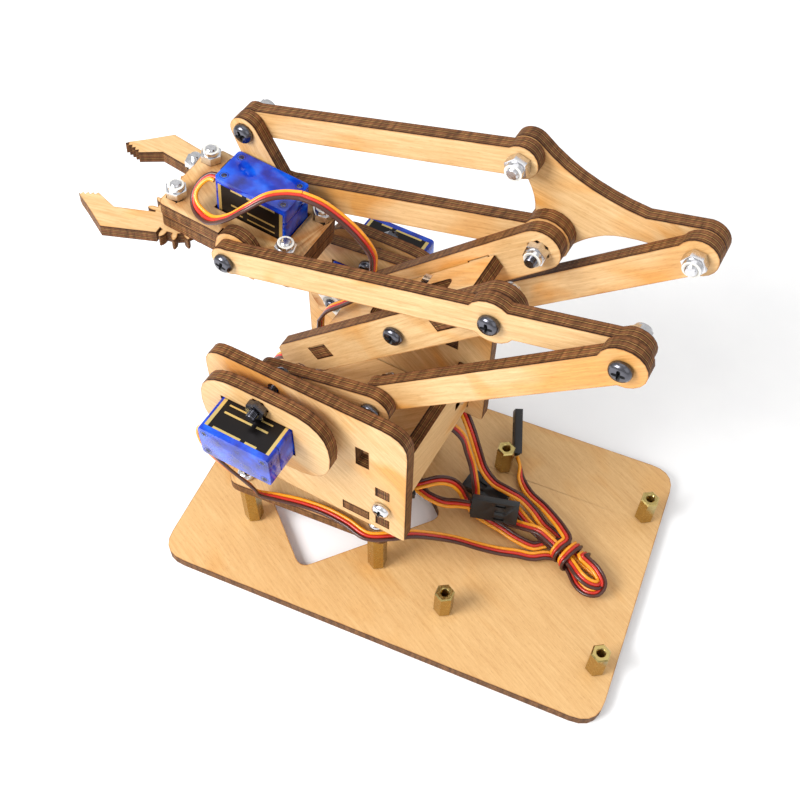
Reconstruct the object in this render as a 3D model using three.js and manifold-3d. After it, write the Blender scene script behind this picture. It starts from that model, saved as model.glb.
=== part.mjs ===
// Plywood robot arm kit with four micro servos. Millimetres, +Z up.
// The arm reaches towards +X. The origin is on the base plate's underside, under the middle of
// the board bay; the constants below are measured from the plate's centre.
import * as THREE from 'three';
import { mergeVertices } from 'three/addons/utils/BufferGeometryUtils.js';
import Module from 'manifold-3d';

const wasm = await Module();
wasm.setup();

// ---------------------------------------------------------------- driving dimensions
const PLY = 4;                    // plywood thickness
const GAP = 0.3;                  // clearance between neighbouring pieces
const SHEET = PLY + GAP;          // pitch of stacked sheets

const BASE = { length: 150, width: 97, corner: 8.5 };
const TURN = { x: 30, y: 0 };     // turntable axis, also the centre of the base opening
const OPENING = { halfDiagonal: 36, corner: 4 };
const TALL = { spanX: 45.2, spanY: 48, height: 22, acrossFlats: 5.5 };
const LOW = { x: [-69, -18.5], y: [-27.2, 31], height: 12, acrossFlats: 5.5 };
const BOARD_BAY = 43.75;          // the low standoffs' middle, behind the plate's centre
const CARRIER = { length: 55, width: 57, corner: 4 };

const ARM_YAW = -6.56;            // the whole turntable, degrees from +X
const ARM_SIDE = -4.1;            // the arm plane's own offset along Y
const PIVOT_LENGTH = 80;          // upper arm, forearm, push link, top link and rear link
const ROCKER = 34;                // elbow lever and forearm tail
const SHOULDER = [40.5, 76];      // in the arm plane: forward, up
const UPPER_ARM_ANGLE = 138.8;    // degrees from forward towards up
const FOREARM_ANGLE = -14.9;
const GRIPPER_ANGLE = 5.4;
const TOP_OFFSET = [9.33, 20.5];  // elbow to top link pivot, wrist to its front pivot
const REAR_OFFSET = [-36.3, 12.4]; // elbow to rear link pivot, shoulder to its foot

const NEAR_INNER = 8.8;           // inner face of the near upper arm plate
const FAR_INNER = -9.5;           // inner face of the far upper arm plate
const NEAR_SIDE = 29.4;           // inner face of the near side plate

const BOLT = { radius: 1.5, hole: 1.8, head: 2.9, headHeight: 2 };
const NUT = { acrossFlats: 5.5, height: 4 };
const SERVO = {
  front: 5.9, back: 16.8, halfWidth: 6.1, below: 18.4, above: 4.3,
  tab: 4.75, tabThickness: 2.5, boss: 5.9, bossHeight: 3.4, spline: 2.3, splineHeight: 3,
};
const HORN = { hub: 3.4, bore: 2.6, boreDepth: 3.3, height: 5.7, arm: 1.6, width: 5.2 };
const SINK = { radius: 3, depth: 1.8 };   // countersunk screws under the base plate

const ROUND = 16;                 // segments of a bolt or a hole
const ARC = 7;                    // segments of one corner or lobe of an outline

// ---------------------------------------------------------------- materials
const paint = (color, roughness, metalness = 0, extra = {}) =>
  () => new THREE.MeshStandardMaterial({ color, roughness, metalness, ...extra });
const plywood = paint(0xecd09a, 0.6);
const brass = paint(0xc9a24a, 0.3, 1);
const zinc = paint(0xc4c6c8, 0.3, 1);
const darkNickel = paint(0x3a3a3e, 0.25, 1);
const bluePlastic = paint(0x1440c8, 0.2, 0, { transparent: true, opacity: 0.85 });
const nylon = paint(0xf2f2ee, 0.45);
const leadVinyl = paint(0xd23a20, 0.35);
const blackPlastic = paint(0x1a1a1a, 0.5);

// ---------------------------------------------------------------- solids
function closed(geometry) {
  const bare = geometry.clone();
  bare.deleteAttribute('normal');
  bare.deleteAttribute('uv');
  return mergeVertices(bare, 1e-4);
}

function solid(geometry) {
  const mesh = closed(geometry);
  return new wasm.Manifold(new wasm.Mesh({
    numProp: 3,
    vertProperties: new Float32Array(mesh.attributes.position.array),
    triVerts: new Uint32Array(mesh.index.array),
  }));
}

function surface(manifold) {
  const mesh = manifold.getMesh();
  const geometry = new THREE.BufferGeometry();
  geometry.setAttribute('position', new THREE.BufferAttribute(mesh.vertProperties, 3));
  geometry.setIndex(new THREE.BufferAttribute(mesh.triVerts, 1));
  return geometry;
}

const join = (first, ...others) =>
  surface(others.reduce((body, tool) => body.add(solid(tool)), solid(first)));
const cut = (first, ...tools) =>
  surface(tools.reduce((body, tool) => body.subtract(solid(tool)), solid(first)));
const moved = (geometry, x, y, z) => geometry.clone().translate(x, y, z);

const radians = THREE.MathUtils.degToRad;
const polar = (length, degrees) =>
  [length * Math.cos(radians(degrees)), length * Math.sin(radians(degrees))];
const plus = ([a, b], [c, d]) => [a + c, b + d];
const minus = ([a, b], [c, d]) => [a - c, b - d];

// ---------------------------------------------------------------- outlines
// A polygon whose corners [x, y, radius] are rounded.
function outline(corners) {
  const shape = new THREE.Shape();
  corners.forEach(([x, y, radius = 0], i) => {
    const here = new THREE.Vector2(x, y);
    const before = new THREE.Vector2(...corners.at(i - 1)).sub(here);
    const after = new THREE.Vector2(...corners[(i + 1) % corners.length]).sub(here);
    const half = Math.acos(before.dot(after) / before.length() / after.length()) / 2;
    const reach = radius / Math.tan(half);
    const from = before.setLength(reach).add(here);
    const to = after.setLength(reach).add(here);
    if (i === 0) shape.moveTo(from.x, from.y);
    else shape.lineTo(from.x, from.y);
    if (radius > 0) shape.quadraticCurveTo(x, y, to.x, to.y);
  });
  shape.closePath();
  return shape;
}

const rectangle = (x0, y0, x1, y1, radius = 0) =>
  outline([[x0, y0, radius], [x1, y0, radius], [x1, y1, radius], [x0, y1, radius]]);

function disc(x, y, radius) {
  const shape = new THREE.Shape();
  shape.absarc(x, y, radius, 0, 2 * Math.PI, false);
  return shape;
}

// A flat link from the origin along +x, with an eye at each end and a waist between them.
function linkOutline(length, waist, rearRadius, frontRadius) {
  const rear = Math.asin(Math.min(waist / rearRadius, 1));
  const front = Math.asin(Math.min(waist / frontRadius, 1));
  const shape = new THREE.Shape();
  shape.absarc(0, 0, rearRadius, rear, 2 * Math.PI - rear, false);
  shape.absarc(length, 0, frontRadius, front - Math.PI, Math.PI - front, false);
  shape.closePath();
  return shape;
}

const withHoles = (shape, ...holes) => {
  shape.holes.push(...holes);
  return shape;
};
const boltHole = (x, y) => disc(x, y, BOLT.hole);

// A sheet lying flat from z up, and a sheet standing in the arm plane from v towards the far side.
const sheet = (shape, z, thickness = PLY, curveSegments = ARC) =>
  new THREE.ExtrudeGeometry(shape, { depth: thickness, bevelEnabled: false, curveSegments })
    .translate(0, 0, z);
const upright = (shape, v, thickness = PLY, curveSegments = ARC) =>
  sheet(shape, 0, thickness, curveSegments).rotateX(Math.PI / 2).translate(0, v, 0);

// A flat link whose two round ends differ: the outline around two discs.
function taper([x0, y0], r0, [x1, y1], r1) {
  const run = Math.atan2(y1 - y0, x1 - x0);
  const flank = Math.acos((r0 - r1) / Math.hypot(x1 - x0, y1 - y0));
  const shape = new THREE.Shape();
  shape.absarc(x0, y0, r0, run + flank, run - flank + 2 * Math.PI, false);
  shape.absarc(x1, y1, r1, run - flank, run + flank, false);
  shape.closePath();
  return shape;
}

// ---------------------------------------------------------------- bought parts
// Each is built along +z and then turned to face the way its head, shaft or hub points.
const TURN_TO = {
  up: (g) => g,
  down: (g) => g.rotateX(Math.PI),
  near: (g) => g.rotateX(-Math.PI / 2),
  far: (g) => g.rotateX(Math.PI / 2),
};
const place = (geometry, facing, [x, y, z]) => TURN_TO[facing](geometry.clone()).translate(x, y, z);

const turned = (profile, segments = ROUND) =>
  new THREE.LatheGeometry(profile.map(([r, z]) => new THREE.Vector2(r, z)), segments)
    .rotateX(Math.PI / 2);
const cylinder = (radius, z0, z1, segments = ROUND) =>
  turned([[0, z0], [radius, z0], [radius, z1], [0, z1]], segments);
const hexagon = (acrossFlats, z0, z1) =>
  cylinder(acrossFlats / Math.sqrt(3), z0, z1, 6).rotateZ(Math.PI / 6);
const block = (x0, x1, y0, y1, z0, z1) =>
  new THREE.BoxGeometry(x1 - x0, y1 - y0, z1 - z0)
    .translate((x0 + x1) / 2, (y0 + y1) / 2, (z0 + z1) / 2);

// A pan-head bolt with its head's seat, its tip and its nut's top at given heights.
function bolt(seat, tip, nutTop = null) {
  const { radius, head, headHeight } = BOLT;
  const body = turned([
    [0, tip], [radius, tip], [radius, seat], [head, seat],
    [head, seat + headHeight * 0.5], [head * 0.6, seat + headHeight], [0, seat + headHeight],
  ], 12);
  if (nutTop === null) return body;
  return join(body, hexagon(NUT.acrossFlats, nutTop - NUT.height, nutTop));
}
// The same bolt across the arm plane, with its head on the near or the far side.
const nearBolt = ([u, z], seat, tip, nutTop) =>
  place(bolt(seat, tip, nutTop), 'near', [u, 0, z]);
const farBolt = ([u, z], seat, tip, nutTop = null) =>
  place(bolt(-seat, -tip, nutTop === null ? null : -nutTop), 'far', [u, 0, z]);

// A hexagonal standoff with the countersunk screw that holds it through the base plate.
function standoff(acrossFlats, top) {
  const screw = turned([[0, 0], [SINK.radius, 0], [BOLT.radius, SINK.depth],
    [BOLT.radius, PLY + 2], [0, PLY + 2]], 12);
  return join(hexagon(acrossFlats, PLY + GAP, top), screw);
}

// The shaft is on the z axis and the mounting tabs' upper face is at z = 0.
function servo() {
  const s = SERVO;
  const tabs = cut(
    block(-s.back - s.tab, s.front + s.tab, -s.halfWidth, s.halfWidth, -s.tabThickness, 0),
    ...[-s.back - s.tab / 2, s.front + s.tab / 2].map((x) =>
      moved(cylinder(1.1, -s.tabThickness - 1, 1, 8), x, 0, 0)));
  const top = s.above + s.bossHeight;
  return join(
    block(-s.back, s.front, -s.halfWidth, s.halfWidth, -s.below, s.above), tabs,
    cylinder(s.boss, 0, top, 24), cylinder(s.spline, 0, top + s.splineHeight, 12));
}

// A horn whose hub stands on z = 0, with its arms level with the hub's far end, and its screw.
function horn(hubHeight, arms) {
  const blades = arms.map(([length, angle]) =>
    sheet(taper([0, 0], HORN.width / 2, polar(length, angle), 1.9), hubHeight - HORN.arm,
      HORN.arm, 4));
  const screwHead = turned([[0, hubHeight - 1], [2.3, hubHeight - 1], [2.3, hubHeight + 1],
    [1.6, hubHeight + 1.6], [0, hubHeight + 1.6]], 10);
  return cut(join(cylinder(HORN.hub, 0, hubHeight), screwHead, ...blades),
    cylinder(HORN.bore, -1, HORN.boreDepth, 12));
}

// ---------------------------------------------------------------- pivots in the arm plane
const ELBOW = plus(SHOULDER, polar(PIVOT_LENGTH, UPPER_ARM_ANGLE));
const WRIST = plus(ELBOW, polar(PIVOT_LENGTH, FOREARM_ANGLE));
const TAIL = plus(ELBOW, polar(-ROCKER, FOREARM_ANGLE));
const LEVER_END = plus(SHOULDER, polar(-ROCKER, FOREARM_ANGLE));
const TOP_PIVOT = plus(ELBOW, TOP_OFFSET);
const REAR_FOOT = plus(SHOULDER, REAR_OFFSET);

// Near face of a sheet in each layer, counted outwards from the arm plane.
const nearLayer = (n) => NEAR_INNER + (n - 1) * SHEET + PLY;
const farLayer = (n) => FAR_INNER - (n - 1) * SHEET;
const FAR_SIDE = farLayer(3);     // inner face of the far side plate
const FAR_SIDE_OUTER = FAR_SIDE - PLY;
const NEAR_SIDE_OUTER = NEAR_SIDE + PLY;

// ---------------------------------------------------------------- scene graph
const arm = new THREE.Group();
const centred = new THREE.Group();
centred.position.x = BOARD_BAY;
const root = new THREE.Group();
const turntable = new THREE.Group();
turntable.position.set(0, ARM_SIDE, 0);
turntable.rotation.z = radians(ARM_YAW);
centred.add(root, turntable);
arm.add(centred);

function add(group, name, geometry, material) {
  const mesh = new THREE.Mesh(geometry, material());
  mesh.name = name;
  group.add(mesh);
  return mesh;
}

// A mesh that lies along a line of the arm plane, from a pivot at an angle.
function addLink(name, pivot, angle, geometry, material = plywood) {
  const mesh = add(turntable, name, geometry, material);
  mesh.position.set(pivot[0], 0, pivot[1]);
  mesh.rotation.y = -radians(angle);
  return mesh;
}

// ---------------------------------------------------------------- base
const CARRIER_Z = PLY + TALL.height;
const tallSpots = [-1, 1].flatMap((i) => [-1, 1].map((j) =>
  [TURN.x + i * TALL.spanX / 2, TURN.y + j * TALL.spanY / 2]));
const lowSpots = LOW.x.flatMap((x) => LOW.y.map((y) => [x, y]));

function basePlate() {
  const { length, width, corner } = BASE;
  const { halfDiagonal: d, corner: r } = OPENING;
  const plate = rectangle(-length / 2, -width / 2, length / 2, width / 2, corner);
  const opening = outline([[TURN.x + d, TURN.y, r], [TURN.x, TURN.y + d, r],
    [TURN.x - d, TURN.y, r], [TURN.x, TURN.y - d, r]]);
  const spots = [...tallSpots, ...lowSpots];
  withHoles(plate, opening, ...spots.map(([x, y]) => boltHole(x, y)));
  const sink = turned([[0, -1], [SINK.radius + GAP, -1], [SINK.radius + GAP, 0],
    [0, SINK.radius + GAP]], 12);
  return cut(sheet(plate, 0, PLY, 5), ...spots.map(([x, y]) => moved(sink, x, y, 0)));
}

add(root, 'base_plate', basePlate(), plywood);
tallSpots.forEach(([x, y], i) => add(root, `tall_standoff_${i + 1}`,
  moved(join(standoff(TALL.acrossFlats, CARRIER_Z - GAP),
    bolt(CARRIER_Z + PLY + GAP, CARRIER_Z - 2)), x, y, 0), brass));
lowSpots.forEach(([x, y], i) => add(root, `board_standoff_${i + 1}`,
  moved(cut(standoff(LOW.acrossFlats, PLY + LOW.height),
    cylinder(1.3, PLY + LOW.height - 6, PLY + LOW.height + 1, 12)), x, y, 0), brass));

const window = (x0, x1, y0, y1) => rectangle(x0 - GAP, y0 - GAP, x1 + GAP, y1 + GAP);
const servoWindow = ([x, y]) =>
  window(x - SERVO.back, x + SERVO.front, y - SERVO.halfWidth, y + SERVO.halfWidth);
const carrier = rectangle(TURN.x - CARRIER.length / 2, TURN.y - CARRIER.width / 2,
  TURN.x + CARRIER.length / 2, TURN.y + CARRIER.width / 2, CARRIER.corner);
withHoles(carrier, ...tallSpots.map(([x, y]) => boltHole(x, y)),
  window(TURN.x - SERVO.front, TURN.x + SERVO.back, -SERVO.halfWidth, SERVO.halfWidth));
add(root, 'servo_carrier', sheet(carrier, CARRIER_Z, PLY, 5), plywood);
add(root, 'base_servo', servo().rotateZ(Math.PI).translate(TURN.x, TURN.y, CARRIER_Z - GAP),
  bluePlastic);

// ---------------------------------------------------------------- turntable
const TURN_U = TURN.x * Math.cos(radians(ARM_YAW)) + (TURN.y - ARM_SIDE) * Math.sin(radians(ARM_YAW));
const TURN_V = -TURN.x * Math.sin(radians(ARM_YAW)) + (TURN.y - ARM_SIDE) * Math.cos(radians(ARM_YAW));
const DECK = { z: 39.7, front: 55, rear: 2.3, tabs: [[4.5, 13], [38, 49]] };
const CROSS = { u: -2.3, low: 39, high: 61, tabs: [[40, 44], [56, 60]], screw: 50.3 };
const COLLAR = { rear: 12, front: 54, low: 62, high: 90, corner: 13.5, boltU: 33.8, reach: 9.9 };
const [SU, SZ] = SHOULDER;
const shaftHole = (shape) => withHoles(shape, servoWindow(SHOULDER));

add(turntable, 'turntable_horn', horn(HORN.height, [[17, 20], [17, 200]])
  .translate(TURN_U, TURN_V, CARRIER_Z - GAP + SERVO.above + SERVO.bossHeight + GAP), nylon);

function turntablePlate() {
  const near = NEAR_SIDE - GAP;
  const far = FAR_SIDE + GAP;
  const plate = withHoles(rectangle(DECK.rear, far, DECK.front, near, 1),
    disc(TURN_U, TURN_V, HORN.hub));
  const tabs = DECK.tabs.flatMap(([rear, front]) => [
    block(rear, front, near - 1, NEAR_SIDE_OUTER, DECK.z, DECK.z + PLY),
    block(rear, front, FAR_SIDE_OUTER, far + 1, DECK.z, DECK.z + PLY)]);
  return join(sheet(plate, DECK.z, PLY, 5), ...tabs);
}
add(turntable, 'turntable_plate', turntablePlate(), plywood);

// A rectangular mortise through the upright sheet whose nearer face is at v.
const mortise = (x0, x1, z0, z1, v) =>
  block(x0 - GAP, x1 + GAP, v - PLY - 1, v + 1, z0 - GAP, z1 + GAP);

function sidePlate(corners, v, slot) {
  const plate = shaftHole(outline(corners));
  withHoles(plate, slot, boltHole(CROSS.u + PLY / 2, CROSS.screw),
    ...[-1, 1].map((i) => boltHole(COLLAR.boltU, SZ + i * COLLAR.reach)));
  return cut(upright(plate, v, PLY, 5),
    ...DECK.tabs.map(([rear, front]) => mortise(rear, front, DECK.z, DECK.z + PLY, v)),
    ...CROSS.tabs.map(([low, high]) => mortise(CROSS.u, CROSS.u + PLY, low, high, v)));
}
add(turntable, 'near_side_plate', sidePlate(
  [[-7.8, 37, 1], [56.4, 37, 3], [56.4, 90, 7], [-7.8, 90, 8]],
  NEAR_SIDE_OUTER, rectangle(4, 68, 8.2, 76.5)), plywood);
add(turntable, 'far_side_plate', join(sidePlate(
  [[-8, 36, 1], [56.4, 36, 3], [56.4, 87.5, 5], [46, 89, 8], [10, 93.8, 4], [4.2, 96.2, 5],
    [-3.5, 91, 6], [-8, 84, 5]],
  FAR_SIDE, rectangle(2.8, 66, 6.9, 70.5)),
  farBolt(REAR_FOOT, FAR_SIDE_OUTER, farLayer(1) + 0.5, farLayer(2) + GAP)), plywood);

// The rear cross plate, its two T-slot nuts and the screws that pull the side plates onto it.
function crossPlate() {
  const near = NEAR_SIDE - GAP;
  const far = FAR_SIDE + GAP;
  const plate = rectangle(far, CROSS.low, near, CROSS.high);
  const middle = CROSS.u + PLY / 2;
  const body = new THREE.ExtrudeGeometry(plate, { depth: PLY, bevelEnabled: false })
    .rotateX(Math.PI / 2).rotateZ(Math.PI / 2).translate(CROSS.u, 0, 0);
  const tabs = CROSS.tabs.flatMap(([low, high]) => [
    block(CROSS.u, CROSS.u + PLY, near - 1, NEAR_SIDE_OUTER, low, high),
    block(CROSS.u, CROSS.u + PLY, FAR_SIDE_OUTER, far + 1, low, high)]);
  const slots = [near - 9, far + 1].flatMap((v) => [
    block(CROSS.u - 1, CROSS.u + PLY + 1, v, v + 8, CROSS.screw - 1.7, CROSS.screw + 1.7)]);
  const screws = [
    nearBolt([middle, CROSS.screw], NEAR_SIDE_OUTER + GAP, near - 9.5, near - 4),
    farBolt([middle, CROSS.screw], FAR_SIDE_OUTER - GAP, far + 9.5, far + 4)];
  return join(cut(join(body, ...tabs), ...slots), ...screws);
}
add(turntable, 'rear_cross_plate', crossPlate(), plywood);

// A collar with its two bolts, heads inside the side plate and nuts outside.
function collar(v, seat, bolts) {
  const { rear, front, low, high, corner, boltU, reach } = COLLAR;
  const plate = shaftHole(rectangle(rear, low, front, high, corner));
  const spots = [-1, 1].map((i) => [boltU, SZ + i * reach]);
  return join(upright(plate, v, PLY, 6), ...spots.map((spot) => bolts(spot, seat)));
}
const TAB_ROOM = SERVO.tabThickness + 2 * GAP;
const nearCollar = NEAR_SIDE_OUTER + TAB_ROOM + PLY;
const farCollar = FAR_SIDE_OUTER - TAB_ROOM - PLY;
add(turntable, 'near_servo_collar', collar(nearCollar, NEAR_SIDE - GAP,
  (spot, seat) => farBolt(spot, seat, nearCollar + 4.5, nearCollar)), plywood);
add(turntable, 'far_servo_collar', collar(farCollar + PLY, FAR_SIDE + GAP,
  (spot, seat) => nearBolt(spot, seat, farCollar - 4.5, farCollar)), plywood);

add(turntable, 'near_servo', place(servo(), 'far', [SU, NEAR_SIDE_OUTER + GAP, SZ]), bluePlastic);
add(turntable, 'far_servo', place(servo(), 'near', [SU, FAR_SIDE_OUTER - GAP, SZ]), bluePlastic);

// ---------------------------------------------------------------- upper arm
const EDGE_ANGLE = 136.6 - 180;   // the plates' long edges, from the elbow down to the shoulder
const EYE = 6;                    // round end at the elbow
const BEAM = { rear: 13, front: 73.5, low: -1.6, slot: [24, 55], width: 7 };
const BEAM_TABS = [[15.5, 22.5], [67, 74]];
const BEAM_SCREW = 37.6;

// The plates' outline in the beam's frame: x from the elbow towards the shoulder, y upwards.
const armFrame = ([u, z]) => {
  const [c, s] = polar(1, EDGE_ANGLE);
  const [du, dz] = minus([u, z], ELBOW);
  return [du * c + dz * s, dz * c - du * s];
};
const shoulderAt = armFrame(SHOULDER);
const armPlate = (corners, v, ...roots) => {
  const shape = new THREE.Shape();
  shape.absarc(0, 0, EYE, Math.PI / 2, 1.5 * Math.PI, false);
  corners.forEach(([x, y]) => shape.lineTo(x, y));
  shape.closePath();
  withHoles(shape, boltHole(BEAM_SCREW, BEAM.low + PLY / 2));
  return cut(join(upright(shape, v, PLY, 6), ...roots),
    ...BEAM_TABS.map(([rear, front]) => mortise(rear, front, BEAM.low, BEAM.low + PLY, v)));
};

const nearArm = armPlate(
  [[75.5, -EYE], [80, -4.5], [88, -1.2], [89, 0.2], [86.2, 5.2], [84.5, EYE]], nearLayer(1));
const nearNotch = upright(disc(84.2, -4.2, 2.6), nearLayer(1) + 1, PLY + 2, 5);
addLink('upper_arm_near_plate', ELBOW, EDGE_ANGLE, join(
  cut(nearArm, nearNotch),
  nearBolt([0, 0], nearLayer(2) + GAP, nearLayer(1) - PLY - 4.4, nearLayer(1) - PLY)));

const farRoot = upright(disc(...shoulderAt, 9), farLayer(1), PLY, 12);
const farArm = armPlate([[75, -EYE], [88, -4], [90, 2], [86, EYE]], farLayer(1), farRoot);
const hubHole = upright(disc(...shoulderAt, HORN.hub + GAP), farLayer(1) + 1, PLY + 2, 12);
addLink('upper_arm_far_plate', ELBOW, EDGE_ANGLE, join(
  cut(farArm, hubHole),
  farBolt([0, 0], farLayer(3) - PLY - GAP, farLayer(1) + 6.5, farLayer(1))));

function crossbeam() {
  const near = NEAR_INNER - GAP;
  const far = FAR_INNER + GAP;
  const middle = (near + far) / 2;
  const { rear, front, low, slot, width } = BEAM;
  const plate = withHoles(rectangle(rear, far, front, near),
    rectangle(slot[0], middle - width / 2, slot[1], middle + width / 2, width / 2.2));
  const tabs = BEAM_TABS.flatMap(([x0, x1]) => [
    block(x0, x1, near - 1, nearLayer(1), low, low + PLY),
    block(x0, x1, farLayer(1) - PLY, far + 1, low, low + PLY)]);
  const spot = [BEAM_SCREW, low + PLY / 2];
  return join(sheet(plate, low, PLY, 5), ...tabs,
    nearBolt(spot, nearLayer(1) + GAP, near - 7, near - 1),
    farBolt(spot, farLayer(1) - PLY - GAP, far + 7, far + 1));
}
addLink('upper_arm_crossbeam', ELBOW, EDGE_ANGLE, crossbeam());

// A horn's hub stands this far beyond its servo's boss.
const HUB_SEAT = SERVO.above + SERVO.bossHeight + 2 * GAP;
const SHOULDER_HUB = FAR_SIDE_OUTER - GAP + HUB_SEAT + 1.1;
addLink('shoulder_horn', SHOULDER, EDGE_ANGLE + 180,
  place(horn(HORN.height, [[7, 90], [7, -90]]), 'near', [0, SHOULDER_HUB, 0]), nylon);

// ---------------------------------------------------------------- elbow lever and push link
const LEVER_WIDTH = 11;
const leverOutline = withHoles(linkOutline(ROCKER, LEVER_WIDTH / 2, LEVER_WIDTH / 2, LEVER_WIDTH / 2),
  disc(0, 0, HORN.hub + GAP), boltHole(ROCKER, 0));
addLink('elbow_lever', SHOULDER, FOREARM_ANGLE + 180, upright(leverOutline, nearLayer(4)));
addLink('lever_horn', SHOULDER, FOREARM_ANGLE + 180,
  place(horn(HORN.height, [[17, 0]]), 'far', [0, NEAR_SIDE_OUTER + GAP - HUB_SEAT + GAP, 0]), nylon);
addLink('lever_pin', LEVER_END, 0,
  nearBolt([0, 0], nearLayer(4) + GAP, nearLayer(3) - PLY - GAP - 4.2, nearLayer(3) - PLY - GAP), zinc);

const pushOutline = withHoles(linkOutline(PIVOT_LENGTH, 4.5, 6, 5),
  boltHole(0, 0), boltHole(PIVOT_LENGTH, 0));
addLink('push_link', TAIL, UPPER_ARM_ANGLE - 180, upright(pushOutline, nearLayer(3)));

// ---------------------------------------------------------------- forearm
const tailBar = linkOutline(PIVOT_LENGTH + ROCKER, 4.2, 5, 4.5);
const nearBar = cut(
  join(upright(tailBar, nearLayer(2)).translate(-ROCKER, 0, 0),
    upright(disc(0, 0, 6.6), nearLayer(2), PLY, 10)),
  upright(boltHole(0, 0), nearLayer(2) + 1, PLY + 2, ROUND / 2),
  upright(boltHole(PIVOT_LENGTH, 0), nearLayer(2) + 1, PLY + 2, ROUND / 2));
addLink('forearm_near_bar', ELBOW, FOREARM_ANGLE, join(nearBar,
  nearBolt([-ROCKER, 0], nearLayer(3) + GAP, nearLayer(1) - PLY - 0.4, nearLayer(1))));
const farBar = withHoles(linkOutline(PIVOT_LENGTH, 4.2, 6.5, 4.5),
  boltHole(0, 0), boltHole(PIVOT_LENGTH, 0));
addLink('forearm_far_bar', ELBOW, FOREARM_ANGLE, upright(farBar, farLayer(2)));

// ---------------------------------------------------------------- parallel linkage
// The triangle carries the bolts of the top link and the rear link.
function trianglePlate() {
  const local = (u, z) => minus([u, z], ELBOW);
  const shape = new THREE.Shape();
  const lobe = ([x, y], r, from, to) =>
    shape.absarc(x, y, r, radians(from), radians(to), false);
  lobe(TOP_OFFSET, 4.6, -28, 128);
  shape.quadraticCurveTo(...local(-24, 144), ...local(-41.4, 142.8));
  lobe(REAR_OFFSET, 5.2, 86, 262);
  shape.quadraticCurveTo(...local(-40, 137), ...local(-33, 133));
  shape.quadraticCurveTo(...local(-27.5, 129.5), ...local(-24.5, 124.5));
  lobe([0, 0], 6.5, 225, 395);
  shape.quadraticCurveTo(...local(-14, 140), ...plus(TOP_OFFSET, polar(4.6, -28)));
  return withHoles(shape, boltHole(0, 0));
}
addLink('triangle_plate', ELBOW, 0, join(
  upright(trianglePlate(), farLayer(3)),
  farBolt(TOP_OFFSET, farLayer(3) - PLY, farLayer(1) + 0.6, farLayer(2) + GAP),
  farBolt(REAR_OFFSET, farLayer(3) - PLY, farLayer(1) + 0.6, farLayer(2) + GAP)));

const topOutline = withHoles(linkOutline(PIVOT_LENGTH, 3.9, 4.6, 4.4),
  boltHole(0, 0), boltHole(PIVOT_LENGTH, 0));
addLink('top_link', TOP_PIVOT, FOREARM_ANGLE, upright(topOutline, farLayer(2)));
const rearOutline = withHoles(linkOutline(PIVOT_LENGTH, 4.5, 5.2, 5.2),
  boltHole(0, 0), boltHole(PIVOT_LENGTH, 0));
addLink('rear_link', REAR_FOOT, UPPER_ARM_ANGLE, upright(rearOutline, farLayer(2)));

// ---------------------------------------------------------------- gripper
// Its own frame: x forwards from the servo's rear face, z = 0 on the top plate's upper face.
const EAR_PIVOT = [10.1, -1.3];
const GRIP = {
  rear: -6.8, front: 36.8, near: 10.8, far: -13.5, servoX: 16.8, servoY: -2.8,
  lower: -PLY - GAP, claws: -2 * (PLY + GAP),
};
const CLAW = { x: 34.2, near: 5.4, far: -11.2, teeth: 14, pitch: 8.3, tip: 9.4, root: 6.9 };
const REAR_BOLTS = [[-2, 6.2], [-3.6, -10.55]];
const EAR_NOTCH = [3.5, 16.7];

const gripper = new THREE.Group();
gripper.position.set(WRIST[0], 0, WRIST[1]);
gripper.rotation.y = -radians(GRIPPER_ANGLE);
turntable.add(gripper);
const inGripper = (geometry) => geometry.translate(-EAR_PIVOT[0], 0, -EAR_PIVOT[1]);
const addGrip = (name, geometry, material) => add(gripper, name, inGripper(geometry), material);

const clawSpots = [CLAW.near, CLAW.far].map((y) => [CLAW.x, y]);
const servoSpot = [GRIP.servoX, GRIP.servoY];
const notch = (side) => {
  const [rear, front] = EAR_NOTCH;
  return side === 'near' ? block(rear, front, NEAR_INNER - GAP, GRIP.near + 1, -20, 20)
    : block(rear, front + 2, GRIP.far - 1, FAR_INNER + GAP, -20, 20);
};

function gripperSheet(front, top, wide) {
  const { rear, near, far, servoX, servoY } = GRIP;
  const bulge = far - 2.2;
  const shape = outline([[rear, far, 2.5], [23, far, 2], [26, bulge, 2],
    [front - 3.4, bulge, 1.5], [front, far + GAP, 1.5], [front, near, 2], [rear, near, 2.5]]);
  withHoles(shape, ...clawSpots.map(([x, y]) => boltHole(x, y)));
  const room = SERVO.halfWidth + GAP;
  const overhang = (wide ? SERVO.tab : 0) + GAP;
  const [back, ahead] = [servoX - SERVO.back - overhang, servoX + SERVO.front + overhang];
  return cut(sheet(shape, top - PLY, PLY, 4), notch('near'), notch('far'),
    block(back, ahead, servoY - room, servoY + room, top - PLY - 1, top + 1),
    ...(wide ? REAR_BOLTS : []).map(([x, y]) =>
      moved(cylinder(BOLT.hole, top - PLY - 1, top + 1, 12), x, y, 0)));
}
const topBolt = (seat, reach, [x, y]) => place(bolt(seat, -reach, 0), 'down', [x, y, 0]);
addGrip('gripper_top_plate', join(gripperSheet(GRIP.front, 0, false),
  ...REAR_BOLTS.map((spot) => topBolt(-GRIP.lower + PLY + GAP, 4.4, spot)),
  ...clawSpots.map((spot) => topBolt(-GRIP.claws + PLY + GAP, 4.4, spot))), plywood);
addGrip('gripper_lower_plate', gripperSheet(GRIP.front - 0.3, GRIP.lower, true), plywood);
addGrip('gripper_servo', place(servo(), 'down', [...servoSpot, GRIP.lower - SERVO.tabThickness]),
  bluePlastic);

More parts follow.
